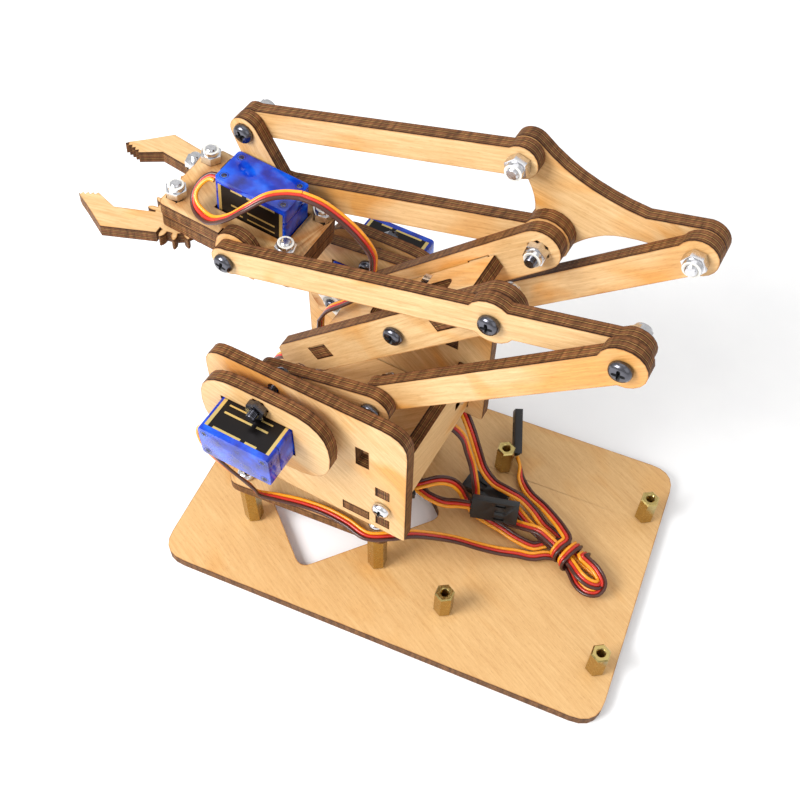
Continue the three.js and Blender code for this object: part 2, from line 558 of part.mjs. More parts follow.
// The ears hang in the notches of both plates; each holds its wrist bolt by the thread.
const earFoot = rectangle(EAR_NOTCH[0] + GAP, -9.5, EAR_NOTCH[1] - GAP, EAR_PIVOT[1], 1);
const EAR_TOP = plus(EAR_PIVOT, (([c, s]) => [TOP_OFFSET[0] * c + TOP_OFFSET[1] * s,
  TOP_OFFSET[1] * c - TOP_OFFSET[0] * s])(polar(1, GRIPPER_ANGLE)));
addGrip('near_ear', join(
  upright(earFoot, nearLayer(1)), upright(disc(...EAR_PIVOT, 6), nearLayer(1), PLY, 12),
  nearBolt(EAR_PIVOT, nearLayer(2) + GAP, NEAR_INNER + 1)), plywood);
addGrip('far_ear', join(
  upright(earFoot, farLayer(1)), upright(taper(EAR_PIVOT, 6, EAR_TOP, 4.5), farLayer(1), PLY, 8),
  farBolt(EAR_PIVOT, farLayer(2) - PLY - GAP, FAR_INNER - 1),
  nearBolt(EAR_TOP, FAR_INNER, farLayer(2) - PLY - 4.6, farLayer(2) - PLY - GAP)), plywood);

// ---------------------------------------------------------------- claws
// A gear of round-flanked teeth whose first tooth points along `phase` degrees.
function gearOutline(phase) {
  const { teeth, pitch, tip, root } = CLAW;
  const base = pitch * Math.cos(radians(20));
  const involute = (r) => (r <= base ? 0 : Math.tan(Math.acos(base / r)) - Math.acos(base / r));
  const halfTooth = 0.2 * 2 * Math.PI / teeth + involute(pitch);
  const flank = [root, (root + pitch) / 2, pitch, (pitch + tip) / 2, tip];
  const shape = new THREE.Shape();
  for (let i = 0; i < teeth; i += 1) {
    const middle = radians(phase) + i * 2 * Math.PI / teeth;
    const rise = flank.map((r) => [r, middle - halfTooth + involute(r)]);
    const fall = flank.toReversed().map((r) => [r, middle + halfTooth - involute(r)]);
    [...rise, ...fall].forEach(([r, angle], k) => {
      const [x, y] = [r * Math.cos(angle), r * Math.sin(angle)];
      if (i === 0 && k === 0) shape.moveTo(x, y);
      else shape.lineTo(x, y);
    });
  }
  shape.closePath();
  return shape;
}

// The finger of a claw whose pivot is at the origin and whose tip bends towards -y.
const FINGER = [[2, 4], [5.2, 2.2], [17, 7.6], [23.9, 5.7], [29.8, 9.3], [15.6, 15.5], [1.6, 8.8]];
function fingerOutline() {
  const [inner, tip] = [FINGER[3], FINGER[4]];
  const step = 1 / 10;
  const jag = 0.8;
  const shape = new THREE.Shape();
  FINGER.slice(0, 4).forEach(([x, y], i) => (i ? shape.lineTo(x, y) : shape.moveTo(x, y)));
  for (let t = step; t < 0.8; t += 2 * step) {
    const [x, y] = [inner[0] + (tip[0] - inner[0]) * t, inner[1] + (tip[1] - inner[1]) * t];
    shape.lineTo(x - jag / 2, y + jag);
    shape.lineTo(x + (tip[0] - inner[0]) * step, y + (tip[1] - inner[1]) * step);
  }
  FINGER.slice(5).forEach(([x, y]) => shape.lineTo(x, y));
  shape.closePath();
  return shape;
}

const CLAW_SWING = 20.6;          // the far claw is this much further closed than its mirror image
function claw(phase, mirrored, swing) {
  const gear = sheet(gearOutline(phase), -PLY);
  let finger = sheet(fingerOutline(), -PLY);
  if (mirrored) finger = finger.rotateX(Math.PI).translate(0, 0, -PLY);
  finger.rotateZ(radians(swing));
  return cut(join(gear, finger), cylinder(BOLT.hole, -PLY - 1, 1));
}
const CLAW_PIN = [7.6, -2.2];     // from the far claw's pivot, and from the servo shaft to the crank pin
const TOOTH = 360 / CLAW.teeth;
const [nearSpot, farSpot] = clawSpots;
const onClawLevel = (geometry, [x, y]) => moved(geometry, x, y, GRIP.claws);
addGrip('near_claw', onClawLevel(claw(-90, false, 0), nearSpot), plywood);

// The drive under the claws: a horn as the crank, a link, and the far claw's long pin.
const CRANK_HUB = 3.9;
const hornSeat = GRIP.lower - SERVO.tabThickness - HUB_SEAT;
const LINK_TOP = hornSeat - CRANK_HUB - GAP;
const LINK_END = 3.4;
const pinSpot = plus(farSpot, CLAW_PIN);
const crankSpot = plus(servoSpot, CLAW_PIN);
const down = (geometry, [x, y]) => place(geometry, 'down', [x, y, 0]);
const clawPin = down(join(
  bolt(-LINK_TOP + PLY + GAP, -GRIP.claws - 4.3, -GRIP.claws),
  cylinder(2.6, -GRIP.claws + PLY, -LINK_TOP - GAP)), pinSpot);
addGrip('far_claw', join(
  onClawLevel(claw(90 + TOOTH / 2, true, CLAW_SWING), farSpot), clawPin), plywood);
const crankReach = Math.hypot(...CLAW_PIN);
const crankAngle = THREE.MathUtils.radToDeg(Math.atan2(-CLAW_PIN[1], CLAW_PIN[0]));
const crank = moved(horn(CRANK_HUB, [[crankReach, crankAngle]]), 0, 0, -hornSeat);
addGrip('claw_horn', join(down(crank, servoSpot),
  down(bolt(-LINK_TOP + PLY + GAP, -hornSeat + CRANK_HUB - 1), crankSpot)), nylon);
addGrip('claw_link', sheet(withHoles(taper(crankSpot, LINK_END, pinSpot, LINK_END),
  boltHole(...crankSpot), boltHole(...pinSpot)), LINK_TOP - PLY), plywood);

// ---------------------------------------------------------------- servo leads
// Each lead is three wires side by side. A route is a list of points that its middle follows.
const LEAD = { width: 3.4, step: 10.5, sides: 8 };
const PLUG = { length: 15.5, width: 7.8, thickness: 2.7, pitch: 2.54, window: 1.2, depth: 0.6 };
const vector = (point) => new THREE.Vector3(...point);

function lead(route) {
  const section = new THREE.Shape(Array.from({ length: LEAD.sides }, (_, i) =>
    new THREE.Vector2(...polar(LEAD.width / 2, i * 360 / LEAD.sides))));
  const extrudePath = new THREE.CatmullRomCurve3(route.map(vector));
  const steps = Math.ceil(extrudePath.getLength() / LEAD.step);
  return new THREE.ExtrudeGeometry(section, { extrudePath, steps });
}

// A three-pin plug from the middle of its wire end, with its latch windows facing `along` x `across`.
function plug(wireEnd, along, across) {
  const { length, width, thickness, pitch, window: side, depth } = PLUG;
  const body = block(0, length, -width / 2, width / 2, -thickness / 2, thickness / 2);
  const pins = [-pitch, 0, pitch].flatMap((y) => [
    block(length - 3, length + 1, y - side / 2, y + side / 2, -side / 2, side / 2),
    block(length * 0.5, length * 0.72, y - side / 2, y + side / 2, thickness / 2 - depth, thickness)]);
  const x = vector(along).normalize();
  const z = x.clone().cross(vector(across)).normalize();
  const y = z.clone().cross(x);
  return cut(body, ...pins)
    .applyMatrix4(new THREE.Matrix4().makeBasis(x, y, z).setPosition(vector(wireEnd)));
}

const addLead = (group, name, route) => add(group, name, lead(route), leadVinyl);

// The near servo's lead runs down to the carrier's edge, along it and back to the bundle.
addLead(turntable, 'near_lead_upper', [[47, 47, 73], [48.8, 47, 72.7], [50.8, 46.8, 70], [51.4, 46.5, 65],
  [50, 45.8, 58], [47, 44, 50], [43.5, 42, 43], [41.2, 40.8, 38.4]]);
addLead(root, 'near_lead_lower', [[44.6, 31, 34.6], [39.5, 29.3, 33], [31, 27.8, 32.5],
  [23, 27.6, 32.5], [15.5, 28.6, 32.5], [8, 30.4, 32.5], [1.5, 27.8, 32.6], [-3.5, 23, 29.4],
  [-9.5, 17.2, 22.5], [-15.5, 12, 15.3], [-22, 8.4, 9.6], [-28.5, 5.8, 6.6], [-34, 4.2, 6.2],
  [-39, 3.3, 6.2]]);
addLead(root, 'near_lead_tail', [[-42.2, -10.8, 9.5], [-36.5, -16, 6.6], [-30.5, -19.2, 6.2],
  [-26.3, -23.5, 6.2], [-24.2, -28, 6.7], [-22.1, -30.6, 7.7]]);
add(root, 'near_lead_plug', plug([-21.7, -31.4, 8.1], [4.6, -12.2, 7], [0.17, -0.44, -0.87]),
  blackPlastic);

// The far servo's lead runs down outside the far side plate and under its rear corner.
addLead(turntable, 'far_lead_upper', [[47, -36, 73], [48.8, -36, 72.7], [50.4, -36, 70], [50.4, -35.8, 64],
  [46, -34.5, 56], [38.5, -32, 48], [30.5, -29.5, 42], [25.8, -28.2, 38.4]]);
addLead(root, 'far_lead_lower', [[20.5, -34.6, 34.4], [14, -34, 32.2], [7, -32.8, 30.6],
  [1, -29.2, 30], [-3.2, -25.4, 29.4], [-7.2, -22.3, 25], [-10.3, -20.5, 18.5], [-13.8, -18.2, 12.8],
  [-18.5, -16, 10.4], [-24, -14.8, 10.4], [-29, -14.6, 8.9], [-34, -13, 6.8], [-39.2, -9.4, 6.3]]);
addLead(root, 'far_lead_tail', [[-24.9, -13.6, 6.1], [-26.5, -13, 6.1], [-29.5, -10.9, 6.1], [-34, -7.8, 6.1],
  [-38.8, -5.4, 6.1]]);
add(root, 'far_lead_plug', plug([-24.1, -13.7, 6], [0.98, -0.196, 0], [0.196, 0.98, 0]),
  blackPlastic);

// The gripper servo's lead loops over the gripper, drops between the arms, goes down past the
// shoulder, over the turntable plate and back under it.
add(gripper, 'gripper_lead_front', inGripper(lead([[23.1, 1.5, 9.3], [24.8, 1.6, 9.2], [26.6, 3.4, 7.8],
  [27.4, 6, 5],
  [25.6, 8.4, 3.2], [20, 10.6, 3.4], [13.5, 11.2, 8.2], [8.5, 9.4, 13.4], [4.2, 5.8, 17],
  [0.2, 2.8, 17.8]])), leadVinyl);
addLead(turntable, 'gripper_lead_middle', [[42.2, 1.3, 126.3], [36.8, 0.6, 125.4], [30.5, 0, 122.2],
  [25, 0, 118.2], [21.8, 0, 113.6]]);
addLead(turntable, 'gripper_lead_shoulder', [[23.5, 0.6, 101.5], [26.5, 1, 95.5], [31, 1.4, 90.5],
  [35.5, 1.8, 86], [38.6, 1.6, 80], [39.4, 1, 73]]);
addLead(turntable, 'gripper_lead_inner', [[38.8, 0.6, 69.5], [37.2, 0, 62], [38.4, -1, 54.5],
  [43.5, -2, 48.8], [50.5, -3, 47], [57, -3, 45.6], [60.8, -3, 42], [61.8, -3, 38.4]]);
addLead(root, 'gripper_lead_base', [[61.4, -14, 34.9], [60, -14.3, 33.2], [55, -14.8, 32.5],
  [44, -15.2, 32.4], [32, -15.6, 32.4], [20, -16.2, 32.4], [10, -17, 32.4], [3.5, -17.2, 32.6],
  [-1.2, -17.5, 32.2],
  [-5.5, -17.3, 28.5], [-8, -16.2, 23], [-10.5, -14.9, 17.5], [-13.3, -11.6, 11.8], [-15.4, -8.5, 7.4],
  [-18.6, -7.9, 6.1], [-22, -7.4, 6.1], [-28, -6, 6.4], [-33, -5, 8.6], [-38.4, -4.3, 10.3]]);
addLead(root, 'gripper_lead_tail', [[-38.2, -0.6, 6.1], [-32, -1.1, 6.1], [-26, -2.7, 6.1],
  [-21, -3.7, 6.1], [-16, -5, 6.3], [-12.3, -6.5, 9.2], [-9.3, -7.2, 13.8], [-6.5, -6, 18],
  [-3, -3, 21.5], [0.5, 0.4, 22.6], [3.5, 2.5, 22.1]]);
add(root, 'gripper_lead_plug', plug([3.9, 2.7, 22], [0.852, 0.524, 0], [-0.524, 0.852, 0]),
  blackPlastic);

// The base servo's lead is wound round the servo under the carrier before it comes out.
const WINDING = { x: 35.5, radius: 16.4, from: 212, to: 870, low: 9.4, high: 17.6, points: 24 };
const winding = Array.from({ length: WINDING.points + 1 }, (_, i) => {
  const { x, radius, from, to, low, high, points } = WINDING;
  const [dx, dy] = polar(radius, from + (to - from) * i / points);
  return [x + dx, dy, low + (high - low) * i / points];
});
addLead(root, 'base_lead', [[23.5, 0.2, 9.4], [22, 0, 9.3], [20, -2.2, 9.3],
  [20.2, -6, 9.3], ...winding, [17.2, 1.4, 17.6],
  [13.5, -2.2, 16.6], [8.5, -2.8, 15.5], [3.5, -1.4, 14.5], [-1, -0.5, 13.6], [-6, -0.8, 12.6],
  [-10.5, -2.1, 13], [-14.5, -2.9, 13.3]]);
add(root, 'base_lead_plug', plug([-15, -3, 13.3], [-0.98, -0.197, 0], [-0.03, -0.42, 0.907]),
  blackPlastic);

// The slack of three leads, knotted round itself, with its loops pointing to the rear.
const BUNDLE = { knot: [-47.3, -2.8], loops: [-58.5, 4.6], knotRadius: 7, loopRadius: 4.6, height: 8 };
add(root, 'lead_bundle', sheet(taper(BUNDLE.knot, BUNDLE.knotRadius, BUNDLE.loops, BUNDLE.loopRadius),
  PLY + GAP, BUNDLE.height, 8), leadVinyl);
export default arm;
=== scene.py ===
"""Looks of the plywood robot arm kit: plates, fasteners, servos, horns, leads, floor, light and camera."""
import math
import bpy
import bmesh
from mathutils import Matrix, Vector


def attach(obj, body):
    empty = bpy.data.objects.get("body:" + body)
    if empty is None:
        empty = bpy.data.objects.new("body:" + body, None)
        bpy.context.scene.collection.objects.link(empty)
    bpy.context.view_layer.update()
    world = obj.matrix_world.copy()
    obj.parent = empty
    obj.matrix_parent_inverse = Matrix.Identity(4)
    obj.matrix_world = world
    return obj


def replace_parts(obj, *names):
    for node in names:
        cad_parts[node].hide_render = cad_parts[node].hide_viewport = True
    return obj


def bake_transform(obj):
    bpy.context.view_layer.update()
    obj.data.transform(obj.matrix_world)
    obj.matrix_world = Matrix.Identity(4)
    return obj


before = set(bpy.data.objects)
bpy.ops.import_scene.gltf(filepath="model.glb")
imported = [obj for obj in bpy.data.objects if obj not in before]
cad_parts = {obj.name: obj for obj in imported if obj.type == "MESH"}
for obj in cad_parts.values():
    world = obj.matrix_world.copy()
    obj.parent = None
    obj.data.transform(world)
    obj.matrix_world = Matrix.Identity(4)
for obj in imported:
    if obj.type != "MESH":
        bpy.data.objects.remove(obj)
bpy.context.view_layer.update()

# ---------------------------------------------------------------- dimensions, in millimetres
MM = 0.001
PLY = 4.0
GAP = 0.3
SHEET = PLY + GAP
BOARD_BAY = 43.75
ARM_YAW = math.radians(-6.56)
ARM_SIDE = -4.1
TURN = Vector((30, 0, 0))
NEAR_INNER = 8.8
FAR_INNER = -9.5
NEAR_SIDE = 29.4
CARRIER_Z = 26.0
PIVOT_LENGTH = 80.0
ROCKER = 34.0
FOREARM_ANGLE = -14.9
UPPER_ARM_ANGLE = 138.8
BEAM_ANGLE = 136.6 - 180
GRIP_ANGLE = math.radians(5.4)
EAR_PIVOT = Vector((10.1, 0, -1.3))
UP, ACROSS, FORWARD, DOWN = (0, 0, 1), (0, 1, 0), (1, 0, 0), (0, 0, -1)


def polar(length, degrees):
    angle = math.radians(degrees)
    return Vector((length * math.cos(angle), length * math.sin(angle)))


SHOULDER = Vector((40.5, 76))
ELBOW = SHOULDER + polar(PIVOT_LENGTH, UPPER_ARM_ANGLE)
WRIST = ELBOW + polar(PIVOT_LENGTH, FOREARM_ANGLE)
TAIL = ELBOW - polar(ROCKER, FOREARM_ANGLE)
LEVER_END = SHOULDER - polar(ROCKER, FOREARM_ANGLE)
TOP_OFFSET = Vector((9.33, 20.5))
REAR_OFFSET = Vector((-36.3, 12.4))
TOP_PIVOT = ELBOW + TOP_OFFSET
FRONT_PIVOT = WRIST + TOP_OFFSET
REAR_PIVOT = ELBOW + REAR_OFFSET
REAR_FOOT = SHOULDER + REAR_OFFSET


def near_layer(n):
    """The outer face of the n-th sheet on the near side, in the arm plane's own frame."""
    return NEAR_INNER + (n - 1) * SHEET + PLY


def far_layer(n):
    """The inner face of the n-th sheet on the far side."""
    return FAR_INNER - (n - 1) * SHEET


FAR_SIDE = far_layer(3)
FAR_SIDE_OUTER = FAR_SIDE - PLY
NEAR_SIDE_OUTER = NEAR_SIDE + PLY


def shift(*point):
    return Matrix.Translation(point)


# Frames: each maps its own millimetres to the row frame's metres.
ROW = Matrix.Diagonal((MM, MM, MM, 1)) @ shift(BOARD_BAY, 0, 0)
ARM = ROW @ shift(0, ARM_SIDE, 0) @ Matrix.Rotation(ARM_YAW, 4, "Z")
GRIP = ARM @ shift(WRIST.x, 0, WRIST.y) @ Matrix.Rotation(-GRIP_ANGLE, 4, "Y") @ shift(*-EAR_PIVOT)
BEAM = ARM @ shift(ELBOW.x, 0, ELBOW.y) @ Matrix.Rotation(-math.radians(BEAM_ANGLE), 4, "Y")


def direction(axes, vector):
    """A unit direction given in one frame's axes, in the row frame."""
    return (axes.to_3x3() @ Vector(vector)).normalized()


# ---------------------------------------------------------------- material helpers
WHITE, BLACK = (1, 1, 1), (0, 0, 0)


def grey(value):
    return (value, value, value)


def darker(rgb, share):
    return tuple(c * share for c in rgb)


def material(name, rgb, roughness=0.5, metallic=0.0):
    """A new node material, its tree and its shader."""
    made = bpy.data.materials.new(name)
    made.use_nodes = True
    made.diffuse_color = (*rgb, 1)
    shader = made.node_tree.nodes["Principled BSDF"]
    set_inputs(shader, {"Base Color": (*rgb, 1), "Roughness": roughness, "Metallic": metallic})
    return made, made.node_tree, shader


def set_inputs(node, values):
    for key, value in values.items():
        node.inputs[key].default_value = value


def place(tree, kind, vector=None, settings=None, **values):
    """A shader node with its settings, its inputs' constants and its vector set."""
    node = tree.nodes.new(kind)
    for key, value in (settings or {}).items():
        setattr(node, key, value)
    set_inputs(node, values)
    if vector is not None:
        tree.links.new(vector, node.inputs["Vector"])
    return node


def ramp(tree, factor, stops, interpolation="LINEAR"):
    """The colour of a ramp with the given (position, rgb) stops, at a factor."""
    node = tree.nodes.new("ShaderNodeValToRGB")
    node.color_ramp.interpolation = interpolation
    elements = node.color_ramp.elements
    while len(elements) < len(stops):
        elements.new(0.5)
    for element, (position, rgb) in zip(elements, stops):
        element.position = position
        element.color = (*rgb, 1)
    tree.links.new(factor, node.inputs["Fac"])
    return node.outputs["Color"]


def noise_of(tree, vector, scale, detail=3.0, roughness=0.5, distortion=0.0, stretch=None):
    """A noise texture's value on a vector, which may be stretched first."""
    if stretch:
        vector = place(tree, "ShaderNodeMapping", vector, Scale=stretch).outputs["Vector"]
    return place(tree, "ShaderNodeTexNoise", vector, Scale=scale, Detail=detail, Roughness=roughness,
                 Distortion=distortion).outputs["Fac"]


def mixed(tree, factor, first, second, blend="MIX"):
    """Two colours mixed; each input may be a socket or a constant."""
    node = tree.nodes.new("ShaderNodeMix")
    node.data_type = "RGBA"
    node.blend_type = blend
    for socket, value in ((node.inputs[0], factor), (node.inputs[6], first), (node.inputs[7], second)):
        if isinstance(value, bpy.types.NodeSocket):
            tree.links.new(value, socket)
        elif isinstance(value, float):
            socket.default_value = value
        else:
            socket.default_value = (*value, 1)
    return node.outputs[2]


def tinted(tree, first, second):
    return mixed(tree, 1.0, first, second, "MULTIPLY")


def bumped(tree, shader, height, strength, distance):
    """A bump from a height socket into the shader."""
    node = place(tree, "ShaderNodeBump", Strength=strength, Distance=distance)
    tree.links.new(height, node.inputs["Height"])
    tree.links.new(node.outputs["Normal"], shader.inputs["Normal"])


def position(tree):
    return tree.nodes.new("ShaderNodeTexCoord").outputs["Object"]


def attribute(tree, name):
    return place(tree, "ShaderNodeAttribute", settings={"attribute_name": name})


def split_axes(tree, vector):
    node = tree.nodes.new("ShaderNodeSeparateXYZ")
    tree.links.new(vector, node.inputs[0])
    return node.outputs


def math_node(tree, operation, first, second, third=None):
    """A math node's result; the second input may be a constant."""
    node = place(tree, "ShaderNodeMath", settings={"operation": operation})
    for socket, value in zip(node.inputs, (first, second, third)):
        if isinstance(value, bpy.types.NodeSocket):
            tree.links.new(value, socket)
        elif value is not None:
            socket.default_value = value
    return node.outputs[0]


# ---------------------------------------------------------------- materials
def plywood_face(name, pale, deep, scorch):
    """Birch veneer: long fine grain, short pores, amber laser scorch and a darker rim at the cut."""
    made, tree, shader = material(name, pale)
    sheet = attribute(tree, "sheet").outputs["Vector"]
    grain = noise_of(tree, sheet, 5.0, 5.0, 0.62, 0.6, (14, 230, 0))
    tone = ramp(tree, grain, [(0.3, deep), (0.68, pale)])
    pores = noise_of(tree, sheet, 4.0, 2.0, stretch=(120, 1700, 0))
    veined = tinted(tree, tone, ramp(tree, pores, [(0.56, WHITE), (0.72, (0.80, 0.72, 0.62))]))
    patches = noise_of(tree, sheet, 1.0, 2.0, 0.55, 0.8, (26, 44, 0))
    patch_mask = ramp(tree, patches, [(0.52, BLACK), (0.66, grey(0.85))])
    wander = noise_of(tree, sheet, 1.0, 2.0, stretch=(150, 150, 0))
    halo = math_node(tree, "MULTIPLY", attribute(tree, "rim").outputs["Fac"], wander)
    halo_mask = ramp(tree, halo, [(0.10, BLACK), (0.55, WHITE)])
    burnt = mixed(tree, patch_mask, veined, tinted(tree, veined, scorch))
    edged = mixed(tree, halo_mask, burnt, tinted(tree, veined, (0.58, 0.36, 0.16)))
    gloss = ramp(tree, grain, [(0.2, grey(0.42)), (0.8, grey(0.6))])
    tree.links.new(edged, shader.inputs["Base Color"])
    tree.links.new(gloss, shader.inputs["Roughness"])
    bumped(tree, shader, pores, 0.25, 0.0001)
    return made


def plywood_edge():
    """Laser-cut edge: charred plies with thin golden ones, striped across the thickness."""
    made, tree, shader = material("plywood_edge", (0.10, 0.05, 0.02), 0.6)
    sheet = attribute(tree, "sheet").outputs["Vector"]
    char, brown, gold = (0.040, 0.016, 0.007), (0.20, 0.085, 0.035), (0.55, 0.31, 0.11)
    wobble = noise_of(tree, sheet, 1.0, stretch=(300, 300, 3))
    depth = math_node(tree, "MULTIPLY_ADD", wobble, 0.10, split_axes(tree, sheet)["Z"])
    plies = ramp(tree, depth, [
        (0.04, char), (0.12, brown), (0.26, brown), (0.35, char), (0.385, gold), (0.42, char),
        (0.52, brown), (0.66, brown), (0.71, char), (0.745, gold), (0.78, char), (0.88, brown),
        (0.98, char)])
    streaks = noise_of(tree, sheet, 1.0, stretch=(900, 900, 0.6))
    soot = ramp(tree, streaks, [(0.3, (0.45, 0.42, 0.4)), (0.7, (1.15, 1.1, 1.0))])
    tree.links.new(tinted(tree, plies, soot), shader.inputs["Base Color"])
    set_inputs(shader, {"Specular IOR Level": 0.15})
    bumped(tree, shader, streaks, 0.5, 0.0002)
    return made


def metal(name, rgb, roughness, scratch=0.08):
    """Plated or machined metal with fine uneven polish."""
    made, tree, shader = material(name, rgb, roughness, 1.0)
    marks = noise_of(tree, position(tree), 900.0, 4.0, 0.6)
    polish = ramp(tree, marks, [(0.3, grey(roughness - scratch)), (0.75, grey(roughness + scratch))])
    tone = ramp(tree, marks, [(0.25, darker(rgb, 0.78)), (0.7, rgb)])
    tree.links.new(polish, shader.inputs["Roughness"])
    tree.links.new(tone, shader.inputs["Base Color"])
    bumped(tree, shader, marks, 0.08, 0.00005)
    return made


def plastic(name, rgb, roughness, speckle=0.12):
    """Moulded plastic with slight tone changes and a fine moulded skin."""
    made, tree, shader = material(name, rgb, roughness)
    skin = noise_of(tree, position(tree), 700.0, 3.0, 0.6)
    tone = ramp(tree, skin, [(0.25, darker(rgb, 1 - speckle)), (0.75, rgb)])
    tree.links.new(tone, shader.inputs["Base Color"])
    bumped(tree, shader, skin, 0.12, 0.00004)
    return made


def servo_blue():
    """Translucent deep blue casing: glossy, with light passing through and darker insides."""
    made, tree, shader = material("servo_blue", (0.003, 0.03, 0.6), 0.1)
    inside = noise_of(tree, position(tree), 210.0, 2.0)
    tone = ramp(tree, inside, [(0.30, (0.0005, 0.010, 0.24)), (0.50, (0.002, 0.045, 0.58)),
                               (0.72, (0.008, 0.140, 0.92))])
    tree.links.new(tone, shader.inputs["Base Color"])
    set_inputs(shader, {"Transmission Weight": 0.3, "IOR": 1.45, "Specular IOR Level": 0.35,
                        "Coat Weight": 0.35, "Coat Roughness": 0.05})
    bumped(tree, shader, inside, 0.05, 0.0001)
    return made


def label_foil():
    """A plain black and gold sticker: bands and a frame, with no lettering."""
    made, tree, shader = material("label_foil", (0.5, 0.38, 0.12), 0.3, 0.7)
    face = split_axes(tree, attribute(tree, "label").outputs["Vector"])
    gold, black, white = (0.62, 0.47, 0.17), (0.012, 0.010, 0.010), (0.75, 0.72, 0.62)
    bands = ramp(tree, face["Y"], [
        (0.0, gold), (0.05, black), (0.42, gold), (0.47, black), (0.62, gold), (0.66, black),
        (0.86, white), (0.90, black), (0.95, gold)], "CONSTANT")
    sides = ramp(tree, face["X"], [(0.0, gold), (0.05, black), (0.95, gold)], "CONSTANT")
    blocks = ramp(tree, face["X"], [
        (0.0, BLACK), (0.12, WHITE), (0.55, BLACK), (0.62, WHITE), (0.8, BLACK)], "CONSTANT")
    tree.links.new(mixed(tree, blocks, sides, bands), shader.inputs["Base Color"])
    return made


wood_face = plywood_face("plywood_face", (0.74, 0.50, 0.25), (0.56, 0.33, 0.13), (0.95, 0.66, 0.26))
base_face = plywood_face("plywood_base", (0.70, 0.44, 0.19), (0.59, 0.335, 0.125), (0.95, 0.84, 0.66))
wood_edge = plywood_edge()
brass = metal("brass", (0.50, 0.38, 0.14), 0.24)
# brass_shade: darker brass painted deep inside the standoffs' threaded holes as shade
brass_shade = metal("brass_thread_shade", (0.42, 0.27, 0.08), 0.35)
bright = metal("zinc_plate", (0.72, 0.72, 0.74), 0.22)
nickel = metal("dark_nickel", (0.13, 0.13, 0.15), 0.24)
hollow = plastic("recess_shadow", (0.012, 0.012, 0.014), 0.5)
nylon = plastic("white_nylon", (0.80, 0.79, 0.74), 0.38)
black_plastic = plastic("black_plastic", (0.012, 0.012, 0.013), 0.42)
blue = servo_blue()
# blue_shade: near-black blue painted as shade in the case seams, the screw counterbores and the screw slots
blue_shade = plastic("servo_seam_shade", (0.002, 0.006, 0.10), 0.4)
foil = label_foil()
wire_brown = plastic("wire_brown", (0.075, 0.022, 0.014), 0.26, 0.2)
wire_red = plastic("wire_red", (0.62, 0.03, 0.015), 0.26, 0.2)
wire_orange = plastic("wire_orange", (0.95, 0.36, 0.015), 0.26, 0.2)


# ---------------------------------------------------------------- mesh helpers
def add_object(name, data):
    made = bpy.data.objects.new(name, data)
    bpy.context.scene.collection.objects.link(made)
    return made


def piece(name, mesh, body, materials=()):
    """An object for a mesh in the row frame, riding on a body."""
    made = add_object(name, mesh)
    for each in materials:
        mesh.materials.append(each)
    if body:
        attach(made, body)
    return made


def shade(mesh, degrees=35):
    """Smooth shading with sharp edges where faces meet at more than an angle."""
    mesh.shade_smooth()
    mesh.set_sharp_from_angle(angle=math.radians(degrees))


def paint(faces, mat):
    for face in faces:
        face.material_index = mat


def soften(form, edges, width, mat=0):
    """Rounds edges of a bmesh."""
    cut = bmesh.ops.bevel(form, geom=edges, offset=width, segments=2, affect="EDGES", profile=0.7)
    paint(cut["faces"], mat)


def arc(radius, start, turn, steps, centre=(0, 0)):
    """Flat points along an arc, with its angles in degrees."""
    return [Vector(centre) + polar(radius, start + turn * k / steps) for k in range(steps + 1)]


def ring_of(form, radius, height, count, start=0, matrix=Matrix()):
    """New vertices spaced evenly round the z axis."""
    return [form.verts.new(matrix @ Vector((*polar(radius, start + 360 * i / count), height)))
            for i in range(count)]


def bridge(form, low, high, mat=0):
    """Faces between two rings of vertices, either of which may be a single one."""
    count = max(len(low), len(high))
    for i in range(count if count > 1 else 0):
        j = (i + 1) % count
        if len(low) == 1:
            corners = (low[0], high[j], high[i])
        elif len(high) == 1:
            corners = (low[i], low[j], high[0])
        else:
            corners = (low[i], low[j], high[j], high[i])
        form.faces.new(corners).material_index = mat


def lathe(form, profile, segments=24, mat=0, matrix=Matrix()):
    """Adds a surface of revolution around +z, of (radius, height, own material if any) rings."""
    rings = [ring_of(form, radius, height, segments if radius else 1, 0, matrix)
             for radius, height, *_ in profile]
    for (_, _, *own), low, high in zip(profile, rings, rings[1:]):
        bridge(form, low, high, own[0] if own else mat)


def slab(form, low, high, bevel=0.0, mat=0, matrix=Matrix()):
    """Adds a box between two opposite corners, with rounded edges."""
    low, high = (Vector([pick(pair) for pair in zip(low, high)]) for pick in (min, max))
    made = bmesh.ops.create_cube(
        form, size=1, matrix=matrix @ shift(*(low + high) / 2) @ Matrix.Diagonal((*(high - low), 1)))
    paint({f for v in made["verts"] for f in v.link_faces}, mat)
    if bevel:
        soften(form, list({e for v in made["verts"] for e in v.link_edges}), bevel, mat)


def prism(form, outline, low, high, bevel=0.0, mat=0):
    """Adds an extruded outline of (x, y) points, with rounded rims."""
    bottom, top = ([form.verts.new((x, y, z)) for x, y in outline] for z in (low, high))
    ends = [form.faces.new(top), form.faces.new(bottom[::-1])]
    paint(ends, mat)
    bridge(form, bottom, top, mat)
    if bevel:
        soften(form, list(set(ends[0].edges) | set(ends[1].edges)), bevel, mat)


def finish_mesh(name, form, matrix, degrees=35):
    """A mesh from a bmesh, moved by a matrix, with outward normals and smooth shading."""
    bmesh.ops.recalc_face_normals(form, faces=form.faces)
    form.transform(matrix)
    mesh = bpy.data.meshes.new(name)
    form.to_mesh(mesh)
    form.free()
    shade(mesh, degrees)
    return mesh


def turned_to(axes, origin, columns):
    """A frame placed in another: columns are where its x, y and z point."""
    return axes @ shift(*origin) @ Matrix(columns).transposed().to_4x4()


def facing(axes, origin, out, turn):
    """The matrix that stands a part built along +z at a point of a frame, with +z along `out`."""
    z = Vector(out).normalized()
    x = Vector(UP).cross(z)
    x = Vector(FORWARD) if x.length < 1e-6 else x.normalized()
    return turned_to(axes, origin, (x, z.cross(x), z)) @ Matrix.Rotation(turn, 4, "Z")


